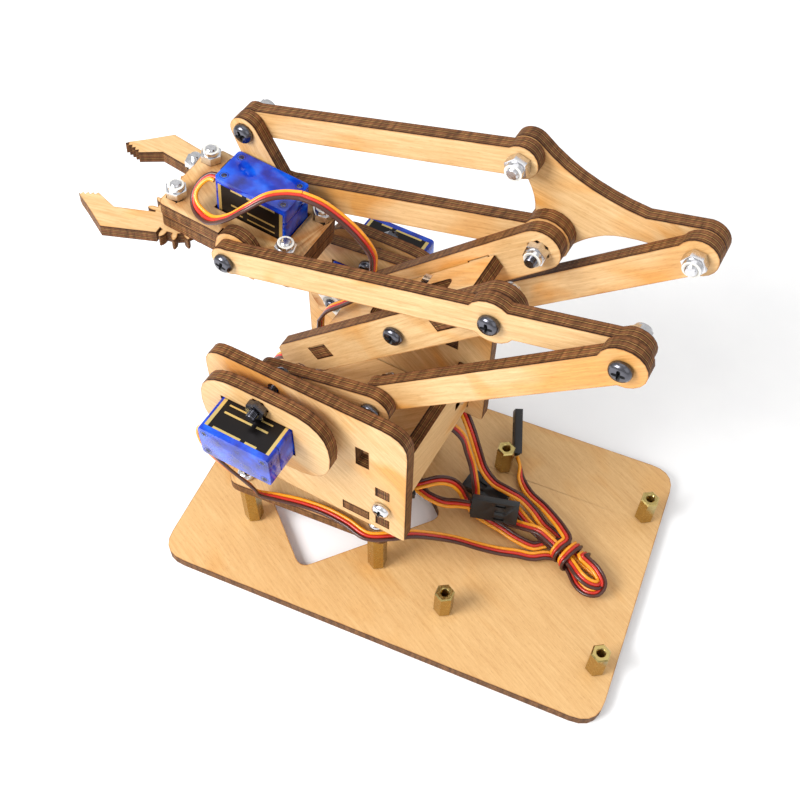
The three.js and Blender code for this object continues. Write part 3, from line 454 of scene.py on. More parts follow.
def cad_form(node):
    """A copy of a CAD node's mesh, and a bmesh of it with its doubled vertices joined."""
    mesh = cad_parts[node].data.copy()
    form = bmesh.new()
    form.from_mesh(mesh)
    bmesh.ops.remove_doubles(form, verts=form.verts, dist=1e-7)
    return mesh, form


def join_flats(form, degrees):
    """Joins neighbouring faces that meet at less than an angle."""
    bmesh.ops.dissolve_limit(form, angle_limit=math.radians(degrees), verts=form.verts, edges=form.edges)


# ---------------------------------------------------------------- plywood sheets
RIM_WIDTH = 0.45 * MM
LEVEL_SLACK = 0.06 * MM
THICKNESS_SLACK = 0.25
SCREW_REACH = 3.26 * MM
GRAIN_SPREAD = 0.4


def hash_of(text):
    """A fixed number from 0 to 1 for a name."""
    return sum(ord(c) * (i + 7) for i, c in enumerate(text)) * 0.61803 % 1


def lower_level(form, through):
    """The height of a sheet's lower face: of two broad levels one thickness apart, the lower one."""
    levels = {}
    for face in form.faces:
        if abs(face.normal.dot(through)) > 0.999:
            key = round(face.calc_center_median().dot(through) / MM, 1)
            levels[key] = levels.get(key, 0) + face.calc_area()
    broadest = sorted(levels, key=levels.get)[-4:]
    return MM * max((levels[a] + levels[b], a) for a in broadest for b in broadest
                    if abs(b - a - PLY) < THICKNESS_SLACK)[1]


def plate(node, axes, normal, body, face_material=wood_face, screws=()):
    """A CAD sheet with veneer on its faces, char on its edges, and its joined fasteners taken off.
    `normal` is the sheet's normal in its frame; screws are (point, direction) lines in that frame."""
    through = direction(axes, normal)
    mesh, form = cad_form(node)
    low = lower_level(form, through)
    high = low + PLY * MM
    lines = [(axes @ Vector(p), direction(axes, d)) for p, d in screws]

    def is_flat(face, least=0.99):
        return abs(face.normal.dot(through)) > least

    def is_spare(face):
        middle = face.calc_center_median()
        height = middle.dot(through)
        if not low - LEVEL_SLACK <= height <= high + LEVEL_SLACK:
            return True
        if is_flat(face) and min(abs(height - low), abs(height - high)) < 2 * LEVEL_SLACK:
            return False
        return any(((middle - p) - (middle - p).dot(d) * d).length < SCREW_REACH for p, d in lines)

    bmesh.ops.delete(form, geom=[f for f in form.faces if is_spare(f)], context="FACES")
    join_flats(form, 0.5)
    bmesh.ops.triangulate(form, faces=form.faces)
    bmesh.ops.inset_region(form, faces=[f for f in form.faces if is_flat(f)], thickness=RIM_WIDTH,
                           use_even_offset=False, use_boundary=True)
    form.verts.index_update()
    rim_verts = {v.index for e in form.edges for v in e.verts
                 if len({is_flat(f) for f in e.link_faces}) > 1 or e.is_boundary}

    def extent(axis):
        heights = [v.co.dot(axis) for v in form.verts]
        return max(heights) - min(heights)

    first = through.orthogonal().normalized()
    turned = [Matrix.Rotation(math.radians(a), 3, through) @ first for a in range(0, 180, 5)]
    along = max(turned, key=extent)
    across = through.cross(along)
    form.to_mesh(mesh)
    form.free()
    mesh.materials.clear()
    rim = mesh.attributes.new("rim", "FLOAT", "POINT")
    for i in rim_verts:
        rim.data[i].value = 1
    sheet = mesh.attributes.new("sheet", "FLOAT_VECTOR", "POINT")
    start, aside = GRAIN_SPREAD * hash_of(node), GRAIN_SPREAD * hash_of(node + "_")
    for vertex, mark in zip(mesh.vertices, sheet.data):
        co = vertex.co
        depth = (co.dot(through) - low) / (high - low)
        mark.vector = (co.dot(along) + start, co.dot(across) + aside, depth)
    for face in mesh.polygons:
        face.material_index = 0 if is_flat(face, 0.9) else 1
    made = piece(f"sheet_{node}", mesh, body, (face_material, wood_edge))
    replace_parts(made, node)


CROSS_SPOT = (-0.3, 50.3)
BEAM_SPOT = (37.6, 0.4)
plate("base_plate", ROW, UP, "base", base_face)
plate("servo_carrier", ROW, UP, "base")
plate("turntable_plate", ARM, UP, "turntable")
for each in ("near_side_plate", "far_side_plate", "near_servo_collar", "far_servo_collar"):
    plate(each, ARM, ACROSS, "turntable")
plate("rear_cross_plate", ARM, FORWARD, "turntable", screws=[((CROSS_SPOT[0], 0, CROSS_SPOT[1]), ACROSS)])
for each in ("upper_arm_near_plate", "upper_arm_far_plate"):
    plate(each, ARM, ACROSS, "upper_arm")
plate("upper_arm_crossbeam", BEAM, UP, "upper_arm", screws=[((BEAM_SPOT[0], 0, BEAM_SPOT[1]), ACROSS)])
for node, body in (
        ("elbow_lever", "lever"), ("push_link", "push_link"), ("forearm_near_bar", "forearm"),
        ("forearm_far_bar", "forearm"), ("triangle_plate", "triangle"), ("top_link", "top_link"),
        ("rear_link", "rear_link")):
    plate(node, ARM, ACROSS, body)
for each in ("gripper_top_plate", "gripper_lower_plate"):
    plate(each, GRIP, UP, "gripper")
for each in ("near_ear", "far_ear"):
    plate(each, ARM, ACROSS, "gripper")
for each in ("near_claw", "far_claw", "claw_link"):
    plate(each, GRIP, UP, each)

# ---------------------------------------------------------------- fasteners
BOLT = 1.5
HEAD = 2.9
HEAD_HEIGHT = 2.0
HEX_FLATS = 5.5
THREAD_PITCH = 0.5


def hexagon(scale=1.0):
    return [polar(HEX_FLATS / math.sqrt(3) * scale, 60 * i + 30) for i in range(6)]


def pan_head(form, seat, mat=0, radius=HEAD, height=HEAD_HEIGHT):
    """A domed head on a seat, with a sunk cross recess in its top painted near-black with the second material
    as shade.
    """
    facets = 32
    arm, width = radius * 0.56, radius * 0.16
    rings = [ring_of(form, radius * r, seat + height * z, facets)
             for r, z in ((0.96, 0), (1, 0.18), (0.97, 0.5), (0.86, 0.78), (0.68, 0.95))]
    crown, floor = [], []
    for i in range(facets):
        angle = 2 * math.pi * i / facets
        local = (angle + math.pi / 4) % (math.pi / 2) - math.pi / 4
        reach = min(arm, width / max(abs(math.sin(local)), 1e-6))
        x, y = reach * math.cos(angle), reach * math.sin(angle)
        crown.append(form.verts.new((x, y, seat + height)))
        floor.append(form.verts.new((x * 0.55, y * 0.55, seat + height * 0.35)))
    rings.append(crown)
    for low, high in zip(rings, rings[1:]):
        bridge(form, low, high, mat)
    bridge(form, crown, floor, 1)
    form.faces.new(floor).material_index = 1
    form.faces.new(rings[0][::-1]).material_index = mat


def thread(form, low, high):
    """A screw's shank with turned ridges along it."""
    count = max(2, int(abs(high - low) / THREAD_PITCH))
    step = (high - low) / count
    rows = [(0, low), (BOLT * 0.8, low)]
    for i in range(count):
        rows += [(BOLT * 0.82, low + step * (i + 0.1)), (BOLT, low + step * (i + 0.5))]
    lathe(form, rows + [(BOLT * 0.82, high), (0, high)], 16)


def nut(form, face, locking):
    """A chamfered hexagon nut below its seated face, with a nylon collar if locking."""
    prism(form, hexagon(), face - (2.6 if locking else 2.3), face, 0.22, 3)
    if locking:
        base, end = face - 2.5, face - 3.9
        lathe(form, [(2.45, base, 3), (2.45, base - 0.75, 3), (2.3, end + 0.1, 2), (2.05, end, 2),
                     (1.5, end + 0.15, 2), (1.5, base, 2)])


def fastener(name, body, axes, origin, out, seat, tip, nut_face=None, finish=bright, locking=True,
             nut_finish=bright):
    """A pan-head screw along `out` through a point, with its head's seat, tip and nut at given heights."""
    form = bmesh.new()
    pan_head(form, seat)
    thread(form, tip, seat)
    if nut_face is not None:
        nut(form, nut_face, locking)
    mesh = finish_mesh(name, form, facing(axes, origin, out, hash_of(name) * 2))
    return piece(name, mesh, body,
                 (finish, hollow, nylon, nut_finish))


def cross_screw(side, name, body, spot, seat, tip, nut_face=None, axes=ARM, **more):
    """A screw across the arm with its head on the near (1) or far (-1) side; heights are along +y."""
    nut_face = None if nut_face is None else side * nut_face
    return fastener(name, body, axes, (spot[0], 0, spot[1]), (0, side, 0), side * seat, side * tip,
                    nut_face, **more)


NEAR, FAR = 1, -1
SIDE_PLATES = (("near", NEAR, NEAR_SIDE, NEAR_SIDE_OUTER), ("far", FAR, FAR_SIDE, FAR_SIDE_OUTER))
CARRIER_HALF = (22.6, 24)
CARRIER_CORNERS = [(TURN.x + i * CARRIER_HALF[0], j * CARRIER_HALF[1]) for i in (-1, 1) for j in (-1, 1)]
DARK = {"finish": nickel}
cross_screw(NEAR, "elbow_screw_near", "upper_arm", ELBOW, near_layer(2) + GAP, NEAR_INNER - 4.4,
            NEAR_INNER, **DARK)
cross_screw(FAR, "elbow_screw_far", "upper_arm", ELBOW, far_layer(3) - PLY - GAP, FAR_INNER + 5.4,
            FAR_INNER, **DARK)
cross_screw(NEAR, "push_link_screw", "forearm", TAIL, near_layer(3) + GAP, NEAR_INNER - 0.4,
            near_layer(1), **DARK)
for label, spot in (("top", TOP_PIVOT), ("rear", REAR_PIVOT)):
    cross_screw(FAR, f"{label}_link_screw", "triangle", spot, far_layer(3) - PLY, FAR_INNER + 0.6,
                far_layer(2) + GAP)
cross_screw(FAR, "rear_foot_screw", "turntable", REAR_FOOT, FAR_SIDE_OUTER, FAR_INNER + 0.5,
            far_layer(2) + GAP)
cross_screw(NEAR, "wrist_screw_near", "gripper", WRIST, near_layer(2) + GAP, NEAR_INNER + 1, **DARK)
cross_screw(FAR, "wrist_screw_far", "gripper", WRIST, far_layer(2) - PLY - GAP, FAR_INNER - 1, **DARK)
cross_screw(NEAR, "top_link_front_screw", "gripper", FRONT_PIVOT, FAR_INNER, far_layer(2) - PLY - 4.6,
            far_layer(2) - PLY - GAP, **DARK)
near_pin = cross_screw(NEAR, "lever_end_screw", "lever_pin", LEVER_END, near_layer(4) + GAP,
                       near_layer(3) - PLY - GAP - 4.2, near_layer(3) - PLY - GAP, **DARK)
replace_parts(near_pin, "lever_pin")
for end, height in (("lower", -9.9), ("upper", 9.9)):
    for label, side, inner, outer in SIDE_PLATES:
        collar = outer + side * 7.1
        cross_screw(-side, f"{label}_collar_screw_{end}", "turntable", (33.8, SHOULDER.y + height),
                    inner - side * GAP, collar + side * 4.5, collar, locking=False, nut_finish=nickel,
                    **DARK)
for label, side, inner, outer in SIDE_PLATES:
    start = inner - side * GAP
    cross_screw(side, f"cross_screw_{label}", "turntable", CROSS_SPOT, outer + side * GAP,
                start - side * 9.5, start - side * 4, locking=False)
for label, side, inner in (("near", NEAR, NEAR_INNER), ("far", FAR, FAR_INNER)):
    start = inner - side * GAP
    cross_screw(side, f"beam_screw_{label}", "upper_arm", BEAM_SPOT, inner + side * (PLY + GAP),
                start - side * 7, start - side * 1, axes=BEAM, locking=False, **DARK)
CLAW_PIVOTS = {"near": (34.2, 5.4), "far": (34.2, -11.2)}
CLAW_PIN = Vector((7.6, -2.2))
for label, (x, y) in (("near", (-2, 6.2)), ("far", (-3.6, -10.55))):
    fastener(f"plate_screw_{label}", "gripper", GRIP, (x, y, 0), DOWN, SHEET + PLY + GAP, -4.4, 0)
for label, (x, y) in CLAW_PIVOTS.items():
    fastener(f"claw_screw_{label}", "gripper", GRIP, (x, y, 0), DOWN, 2 * SHEET + PLY + GAP, -4.4, 0)
for i, spot in enumerate(CARRIER_CORNERS):
    fastener(f"carrier_screw_{i + 1}", "base", ROW, (*spot, 0), UP, CARRIER_Z + PLY + GAP, CARRIER_Z - 2)


# ---------------------------------------------------------------- camera
camera = add_object("camera", bpy.data.cameras.new("camera"))
camera.data.lens = 47.18
camera.data.sensor_width = 36
camera.data.clip_start = 0.01
look = Vector((0.21308, -0.54230, -0.81272)).normalized()
side = look.cross(Vector((0.32112, -0.74674, 0.58247))).normalized()
camera.matrix_world = turned_to(Matrix(), (-0.01217, 0.16856, 0.31573), (side, side.cross(look), -look))
bpy.context.scene.camera = camera

# ---------------------------------------------------------------- plugs
PLUG_LENGTH, PLUG_WIDTH, PLUG_THICKNESS, PITCH = 15.5, 7.8, 2.7, 2.54
WIRE_ROWS = (-PITCH, 0, PITCH)


def plug(name, wire_end, along, across):
    """A three-way socket housing: moulded shell with latch windows, and gold contacts inside."""
    x = Vector(along).normalized()
    z = x.cross(Vector(across)).normalized()
    axes = turned_to(ROW, wire_end, (x, z.cross(x), z))
    own = axes.inverted()
    half = Vector((PLUG_LENGTH, PLUG_WIDTH, PLUG_THICKNESS)) / 2

    def on_outline(vert):
        """Whether a vertex lies on at least two of the housing's outer sides."""
        spot = own @ vert.co - Vector((half.x, 0, 0))
        return sum(abs(c) > limit - 0.05 for c, limit in zip(spot, half)) > 1

    mesh, form = cad_form(name)
    join_flats(form, 1)
    soften(form, [e for e in form.edges if all(on_outline(v) for v in e.verts)
                  and e.is_manifold and e.calc_face_angle(0) > 0.5], 0.22 * MM)
    paint(form.faces, 0)
    latch = (PLUG_LENGTH * 0.5 + 0.2, PLUG_LENGTH * 0.72 - 0.3, 0.9)
    mouth = (PLUG_LENGTH - 2.6, PLUG_LENGTH - 0.5, 0.5)
    for y in WIRE_ROWS:
        for back, front, top in (latch, mouth):
            slab(form, (back, y - 0.42, -0.55), (front, y + 0.42, top), 0.12 * MM, 1, axes)
    for y in WIRE_ROWS:
        lathe(form, [(0.75, 0), (0.95, 0.35), (0.62, 0.7)], 16, 0,
              axes @ shift(-0.35, y, 0) @ Matrix.Rotation(math.pi / 2, 4, "Y"))
    form.to_mesh(mesh)
    form.free()
    mesh.materials.clear()
    shade(mesh, 40)
    made = piece(f"{name}_housing", mesh, "base", (black_plastic, brass))
    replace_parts(made, name)
    return made


near_plug = plug("near_lead_plug", (-21.7, -31.4, 8.1), (4.6, -12.2, 7), (0.17, -0.44, -0.87))
far_plug = plug("far_lead_plug", (-24.1, -13.7, 6), (0.98, -0.196, 0), (0.196, 0.98, 0))
gripper_plug = plug("gripper_lead_plug", (3.9, 2.7, 22), (0.852, 0.524, 0), (-0.524, 0.852, 0))
base_plug = plug("base_lead_plug", (-15, -3, 13.3), (-0.98, -0.197, 0), (-0.03, -0.42, 0.907))

# ---------------------------------------------------------------- leads
WIRE = 0.58
SPACING = 1.15
STEP = 0.9
WIRE_SIDES = 8
TURN_OVER = 16
START_STIFF = 8
FLATTENING = 0.16


def along_line(line):
    """The distance along a line at each of its points."""
    lengths = [0.0]
    for a, b in zip(line, line[1:]):
        lengths.append(lengths[-1] + (b - a).length)
    return lengths


def smooth_route(points, step):
    """Points spaced evenly along a centripetal Catmull-Rom curve through the given ones."""
    points = [2 * points[0] - points[1], *points, 2 * points[-1] - points[-2]]
    dense = []
    for p0, p1, p2, p3 in zip(points, points[1:], points[2:], points[3:]):
        t = [0.0]
        for a, b in ((p0, p1), (p1, p2), (p2, p3)):
            t.append(t[-1] + max((b - a).length, 1e-6) ** 0.5)
        count = max(4, math.ceil((p2 - p1).length / step * 4))
        for k in range(count):
            at = t[1] + (t[2] - t[1]) * k / count
            shares = [(at - t[i]) / (t[i + 1] - t[i]) for i in range(3)]
            a1, a2, a3 = (a.lerp(b, share) for a, b, share in zip((p0, p1, p2), (p1, p2, p3), shares))
            b1 = a1.lerp(a2, (at - t[0]) / (t[2] - t[0]))
            b2 = a2.lerp(a3, (at - t[1]) / (t[3] - t[1]))
            dense.append(b1.lerp(b2, shares[1]))
    dense.append(points[-2])
    lengths = along_line(dense)
    count = max(2, round(lengths[-1] / step))
    even, k = [], 0
    for i in range(count + 1):
        want = lengths[-1] * i / count
        while k < len(dense) - 2 and lengths[k + 1] < want:
            k += 1
        span = max(lengths[k + 1] - lengths[k], 1e-12)
        even.append(dense[k].lerp(dense[k + 1], min(1.0, (want - lengths[k]) / span)))
    return even


def square_to(tangent, side):
    """A side direction made square to a tangent."""
    return (side - tangent * side.dot(tangent)).normalized()


def ribbon_sides(line, first, last):
    """A side direction at each point: carried along, relaxing to lie flat, and turned to fit the end."""
    ends = line[:1] + line + line[-1:]
    tangents = [(after - before).normalized() for before, after in zip(ends, ends[2:])]
    sides, carried = [], Vector(first)
    for i, t in enumerate(tangents):
        carried = square_to(t, carried)
        flat = t.cross(Vector(UP))
        if i > START_STIFF:
            pull = FLATTENING * flat.length ** 2
            flat = flat if flat.dot(carried) > 0 else -flat
            carried = (carried * (1 - pull) + flat * pull).normalized()
        sides.append(carried.copy())
    if last is not None:
        goal = Vector(last).normalized()
        if goal.dot(sides[-TURN_OVER]) < 0:
            goal = -goal
        for k in range(TURN_OVER):
            i = k - TURN_OVER
            share = (k + 1) / TURN_OVER
            share = share * share * (3 - 2 * share)
            sides[i] = square_to(tangents[i], sides[i] * (1 - share) + goal * share)
    return tangents, sides


def lead(name, stretches, first, last=None):
    """A ribbon of three wires along points given in frames, with its centreline and its last side."""
    line = smooth_route([axes @ Vector(p) for axes, points in stretches for p in points], STEP * MM)
    tangents, sides = ribbon_sides(line, first, last)
    verts, faces, colours = [], [], []
    for k in range(3):
        start = len(verts)
        for p, t, s in zip(line, tangents, sides):
            up = t.cross(s)
            middle = p + s * (k - 1) * SPACING * MM
            for j in range(WIRE_SIDES):
                x, y = polar(WIRE * MM, 360 * (j + 0.5) / WIRE_SIDES)
                verts.append(middle + s * x + up * y)
        for a in range(start, len(verts) - WIRE_SIDES, WIRE_SIDES):
            b = a + WIRE_SIDES
            for j in range(WIRE_SIDES):
                n = (j + 1) % WIRE_SIDES
                faces.append((a + j, a + n, b + n, b + j))
        faces.append(tuple(range(start + WIRE_SIDES - 1, start - 1, -1)))
        faces.append(tuple(range(len(verts) - WIRE_SIDES, len(verts))))
        colours += [k] * (len(faces) - len(colours))
    mesh = bpy.data.meshes.new(name)
    mesh.from_pydata(verts, [], faces)
    mesh.update()
    shade(mesh, 60)
    made = piece(name, mesh, None, (wire_brown, wire_red, wire_orange))
    for face, colour in zip(mesh.polygons, colours):
        face.material_index = colour
    return made, line, sides[-1]


KNOT = Vector((-47.3, -2.8))
HANK_ALONG = Vector((-0.844, 0.537))
HANK_ACROSS = Vector((0.537, 0.844))


def hank(*points):
    """Base points from (along the hank, across it, height) measured from its knot."""
    return [(*(KNOT + HANK_ALONG * s + HANK_ACROSS * w), z) for s, w, z in points]


WRAP_FROM, WRAP_TURN, WRAP_STEPS = 115, 720, 16
wraps = []
for k in range(WRAP_STEPS + 1):
    across, up = polar(1, WRAP_FROM + WRAP_TURN * k / WRAP_STEPS)
    wraps.append((6.8 - 7.4 * k / WRAP_STEPS, 4.7 * across, 8.2 + 2.9 * up))

near_hank = hank(
    (-1.4, 5.4, 6.3), (1.4, 2.9, 6.4), (4.4, 2.0, 6.4), (8, 2.6, 6.4), (12.4, 3.9, 6.6), (16.2, 3.6, 7.2),
    (18.6, 1.4, 8.0), (17.6, -1.7, 8.7), (13, -3.2, 9.2), (8.6, -2.6, 9.9), *wraps, (-4.8, -3.3, 10.4))
far_hank = hank(
    (-6.5, -1.8, 6.5), (-2.5, -2, 6.4), (2, -1.9, 6.4), (6, -2.1, 6.4), (10.6, -3.4, 6.2), (14.2, -3.6, 6.0),
    (16.2, -1.4, 6.4), (14.9, 1.0, 7.3), (11, 1.7, 7.8), (6.5, 1.5, 7.9), (1.5, 1.9, 7.9), (-2.5, 2.1, 7.4),
    (-5.5, 2.3, 6.6))
gripper_hank = hank(
    (-4.5, 2.6, 9.8), (-1, 2, 9.4), (3, 1.9, 9.4), (7, 2.2, 9.6), (11.4, 3.0, 10.4), (15.2, 2.2, 10.2),
    (17.2, -0.2, 9.2), (15.8, -2.6, 8.0), (11.6, -2.9, 7.6), (7, -2.1, 7.8), (2.5, -1.9, 7.9), (-1, -1.5, 7.6),
    (-3.6, 1.0, 6.9), (-5.4, 4.4, 6.2))

lead_near, line_near, _ = lead("near_servo_lead", [
    (ARM, [(47, 47, 73), (48.8, 47, 72.7), (50.8, 46.8, 70), (51.4, 46.5, 65), (50, 45.8, 58), (47, 44, 50),
           (43.5, 42, 43), (41.2, 40.8, 38.4)]),
    (ROW, [(44.6, 31, 34.6), (39.5, 29.3, 33), (31, 27.8, 32.5), (23, 27.6, 32.5), (15.5, 28.6, 32.5),
           (8, 30.4, 32.5), (1.5, 27.8, 32.6), (-3.5, 23, 29.4), (-9.5, 17.2, 22.5), (-15.5, 12, 15.3),
           (-22, 8.4, 9.6), (-28.5, 5.8, 6.6), (-34, 4.2, 6.2), (-39, 3.3, 6.2), *near_hank,
           (-42.2, -10.8, 9.5), (-36.5, -16, 6.6), (-30.5, -19.2, 6.2), (-26.3, -23.5, 6.2),
           (-24.2, -28, 6.7), (-22.1, -30.6, 7.7)])],
    direction(ARM, UP), direction(ROW, (0.17, -0.44, -0.87)))
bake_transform(lead_near)
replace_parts(lead_near, "near_lead_upper", "near_lead_lower", "near_lead_tail", "lead_bundle")

lead_far, line_far, _ = lead("far_servo_lead", [
    (ARM, [(47, -36, 73), (48.8, -36, 72.7), (50.4, -36, 70), (50.4, -35.8, 64), (46, -34.5, 56),
           (38.5, -32, 48), (30.5, -29.5, 42), (25.8, -28.2, 38.4)]),
    (ROW, [(20.5, -34.6, 34.4), (14, -34, 32.2), (7, -32.8, 30.6), (1, -29.2, 30), (-3.2, -25.4, 29.4),
           (-7.2, -22.3, 25), (-10.3, -20.5, 18.5), (-13.8, -18.2, 12.8), (-18.5, -16, 10.4),
           (-24, -14.8, 10.4), (-29, -14.6, 8.9), (-34, -13, 6.8), (-39.2, -9.4, 6.3), *far_hank,
           (-38.8, -5.4, 6.1), (-34, -7.8, 6.1), (-29.5, -10.9, 6.1), (-26.5, -13, 6.1),
           (-24.9, -13.6, 6.1)])],
    direction(ARM, UP), direction(ROW, (0.196, 0.98, 0)))
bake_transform(lead_far)
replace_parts(lead_far, "far_lead_upper", "far_lead_lower", "far_lead_tail")

OVER_WRIST = (42.2, 1.3, 126.3)
BY_ELBOW = (21.6, 0.2, 107.5)
BY_SHOULDER = (38.6, 1.6, 80)
OVER_DECK = (43.5, -2, 48.8)
chain = [
    ("gripper_lead_loop", [
        (GRIP, [(23.1, 1.5, 9.3), (24.8, 1.6, 9.2), (26.6, 3.4, 7.8), (27.4, 6, 5), (25.6, 8.4, 3.2),
                (20, 10.6, 3.4), (13.5, 11.2, 8.2), (8.5, 9.4, 13.4), (4.2, 5.8, 17), (0.2, 2.8, 17.8)]),
        (ARM, [OVER_WRIST])],
     ("gripper", "forearm", (60, 0, 126), (44.5, 0, 126)), ["gripper_lead_front"]),
    ("gripper_lead_forearm", [
        (ARM, [OVER_WRIST, (36.8, 0.6, 125.4), (30.5, 0, 122.2), (25, 0, 118.2), (21.8, 0, 113.6), BY_ELBOW])],
     ("forearm", "triangle", (40, 0, 126), (22, 0, 109)), ["gripper_lead_middle"]),
    ("gripper_lead_upper_arm", [
        (ARM, [BY_ELBOW, (23.5, 0.6, 101.5), (26.5, 1, 95.5), (31, 1.4, 90.5), (35.5, 1.8, 86), BY_SHOULDER])],
     ("triangle", "upper_arm", (22, 0, 106), (36, 0, 84)), ["gripper_lead_shoulder"]),
    ("gripper_lead_drop", [
        (ARM, [BY_SHOULDER, (39.4, 1, 73), (38.8, 0.6, 69.5), (37.2, 0, 62), (38.4, -1, 54.5), OVER_DECK])],
     ("upper_arm", "turntable", (39, 0, 79), (39, 0, 62)), ["gripper_lead_inner"]),
    ("gripper_lead_root", [
        (ARM, [OVER_DECK, (50.5, -3, 47), (57, -3, 45.6), (60.8, -3, 42), (61.8, -3, 38.4)]),
        (ROW, [(61.4, -14, 34.9), (60, -14.3, 33.2), (55, -14.8, 32.5), (44, -15.2, 32.4), (32, -15.6, 32.4),
               (20, -16.2, 32.4), (10, -17, 32.4), (3.5, -17.2, 32.6), (-1.2, -17.5, 32.2),
               (-5.5, -17.3, 28.5), (-8, -16.2, 23), (-10.5, -14.9, 17.5), (-13.3, -11.6, 11.8),
               (-15.4, -8.5, 7.4), (-18.6, -7.9, 6.1), (-22, -7.4, 6.1), (-28, -6, 6.4), (-33, -5, 8.6),
               (-38.4, -4.3, 10.3), *gripper_hank, (-38.2, -0.6, 6.1), (-32, -1.1, 6.1), (-26, -2.7, 6.1),
               (-21, -3.7, 6.1), (-16, -5, 6.3), (-12.3, -6.5, 9.2), (-9.3, -7.2, 13.8), (-6.5, -6, 18),
               (-3, -3, 21.5), (0.5, 0.4, 22.6), (3.5, 2.5, 22.1)])],
     ("turntable", "base", (61.8, 0, 46), (61.8, 0, 35.6)), ["gripper_lead_base", "gripper_lead_tail"]),
]
following = direction(GRIP, ACROSS)
for name, stretches, (one, other, start, end), nodes in chain:
    last = direction(ROW, (-0.524, 0.852, 0)) if name.endswith("root") else None
    made, line, following = lead(name, stretches, following, last)
    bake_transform(made)
    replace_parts(made, *nodes)

WIND_CENTRE, WIND_RADIUS, WIND_FROM, WIND_TURN, WIND_STEPS = (35.5, 0), 16.4, 212, 658, 40
WIND_LOW, WIND_RISE = 9.4, 8.2
winding = [(*spot, WIND_LOW + WIND_RISE * k / WIND_STEPS)
           for k, spot in enumerate(arc(WIND_RADIUS, WIND_FROM, WIND_TURN, WIND_STEPS, WIND_CENTRE))]
lead_base, line_base, _ = lead("base_servo_lead", [(ROW, [
    (23.5, 0.2, 9.4), (22, 0, 9.3), (20, -2.2, 9.3), (20.2, -6, 9.3), *winding, (17.2, 1.4, 17.6),
    (13.5, -2.2, 16.6), (8.5, -2.8, 15.5), (3.5, -1.4, 14.5), (-1, -0.5, 13.6), (-6, -0.8, 12.6),
    (-10.5, -2.1, 13), (-14.5, -2.9, 13.3)])], direction(ROW, ACROSS), direction(ROW, (-0.03, -0.42, 0.907)))
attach(lead_base, "base")
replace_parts(lead_base, "base_lead")

# ---------------------------------------------------------------- standoffs and base screws
THREAD_DEPTH = 6.0


def standoff(name, spot, top, turns):
    """A turned brass hexagon with chamfered ends, an open thread in its top whose deeper rings and floor are
    painted darker brass as shade, and a screw from below.
    """
    form = bmesh.new()
    low = PLY + GAP
    hexes = [[form.verts.new((x, y, z)) for x, y in hexagon(scale)]
             for z, scale in ((low, 0.88), (low + 0.35, 1.0), (top - 0.45, 1.0), (top, 0.86))]
    for lower, upper in zip(hexes, hexes[1:]):
        bridge(form, lower, upper)
    form.faces.new(hexes[0][::-1])
    ring = ring_of(form, 1.55, top, 24, 30)
    for i in range(6):
        edge = [ring[(4 * i + k) % 24] for k in range(5)]
        form.faces.new((hexes[3][i], hexes[3][(i + 1) % 6], *edge[::-1]))
    # Below the top two rings, the thread and its floor take the second material: darker brass painted as shade
    # in the hole.
    for k in range(turns * 2):
        below = ring_of(form, 1.5 if k % 2 else 1.3, top - 0.25 - THREAD_DEPTH * k / (turns * 2), 24, 30)
        bridge(form, below, ring, 0 if k < 2 else 1)
        ring = below
    form.faces.new(ring).material_index = 1
    lathe(form, [(0, 0.02), (0.7, 0.02), (0.75, 0.7), (1.6, 0.7), (1.7, 0.02), (2.75, 0.02), (3.0, 0.15),
                 (1.5, 1.8), (1.5, low + 0.2), (0, low + 0.2)], 24, 2)
    mesh = finish_mesh(name, form, ROW @ shift(*spot, 0), 30)
    return piece(name, mesh, "base", (brass, brass_shade, bright))


board = [(x, y) for x in (-69, -18.5) for y in (-27.2, 31)]
for i, spot in enumerate(CARRIER_CORNERS):
    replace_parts(standoff(f"tall_post_{i + 1}", spot, CARRIER_Z - GAP, 2), f"tall_standoff_{i + 1}")
for i, spot in enumerate(board):
    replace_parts(standoff(f"board_post_{i + 1}", spot, PLY + 12, 8), f"board_standoff_{i + 1}")

# ---------------------------------------------------------------- servos
FRONT, BACK, HALF, BELOW, ABOVE, TAB = 5.9, 16.8, 6.1, 18.4, 4.3, 4.75
TAB_THICKNESS = 2.5
SEAM = 0.18
SPLINE_TEETH = 21


def case_layer(form, low, high, inset):
    """A layer of the case with rounded upright edges, or if inset a seam between two, painted darker blue as
    shade in the groove.
    """
    radius = 0.9 if inset else 1.0
    back, front, side = radius + inset - BACK, FRONT - inset - radius, HALF - inset - radius
    corners = ((front, side), (back, side), (back, -side), (front, -side))
    outline = [p for i, centre in enumerate(corners) for p in arc(radius, 90 * i, 90, 4, centre)]
    prism(form, outline, low, high, min(0.3, (high - low) * 0.3), 1 if inset else 0)


def tab_outline(x_body, x_end):
    """A mounting tab with rounded corners and a screw hole open to its end."""
    way = 1 if x_end > x_body else -1
    hole_x = (x_body + x_end) / 2 + 0.1 * way
    points = [
        (x_body, -HALF), (x_end - 0.8 * way, -HALF), (x_end, 0.8 - HALF), (x_end, -0.55),
        *((hole_x + x * way, y) for x, y in arc(1.1, -30, -300, 12)),
        (x_end, 0.55), (x_end, HALF - 0.8), (x_end - 0.8 * way, HALF), (x_body, HALF)]
    return points if way > 0 else points[::-1]


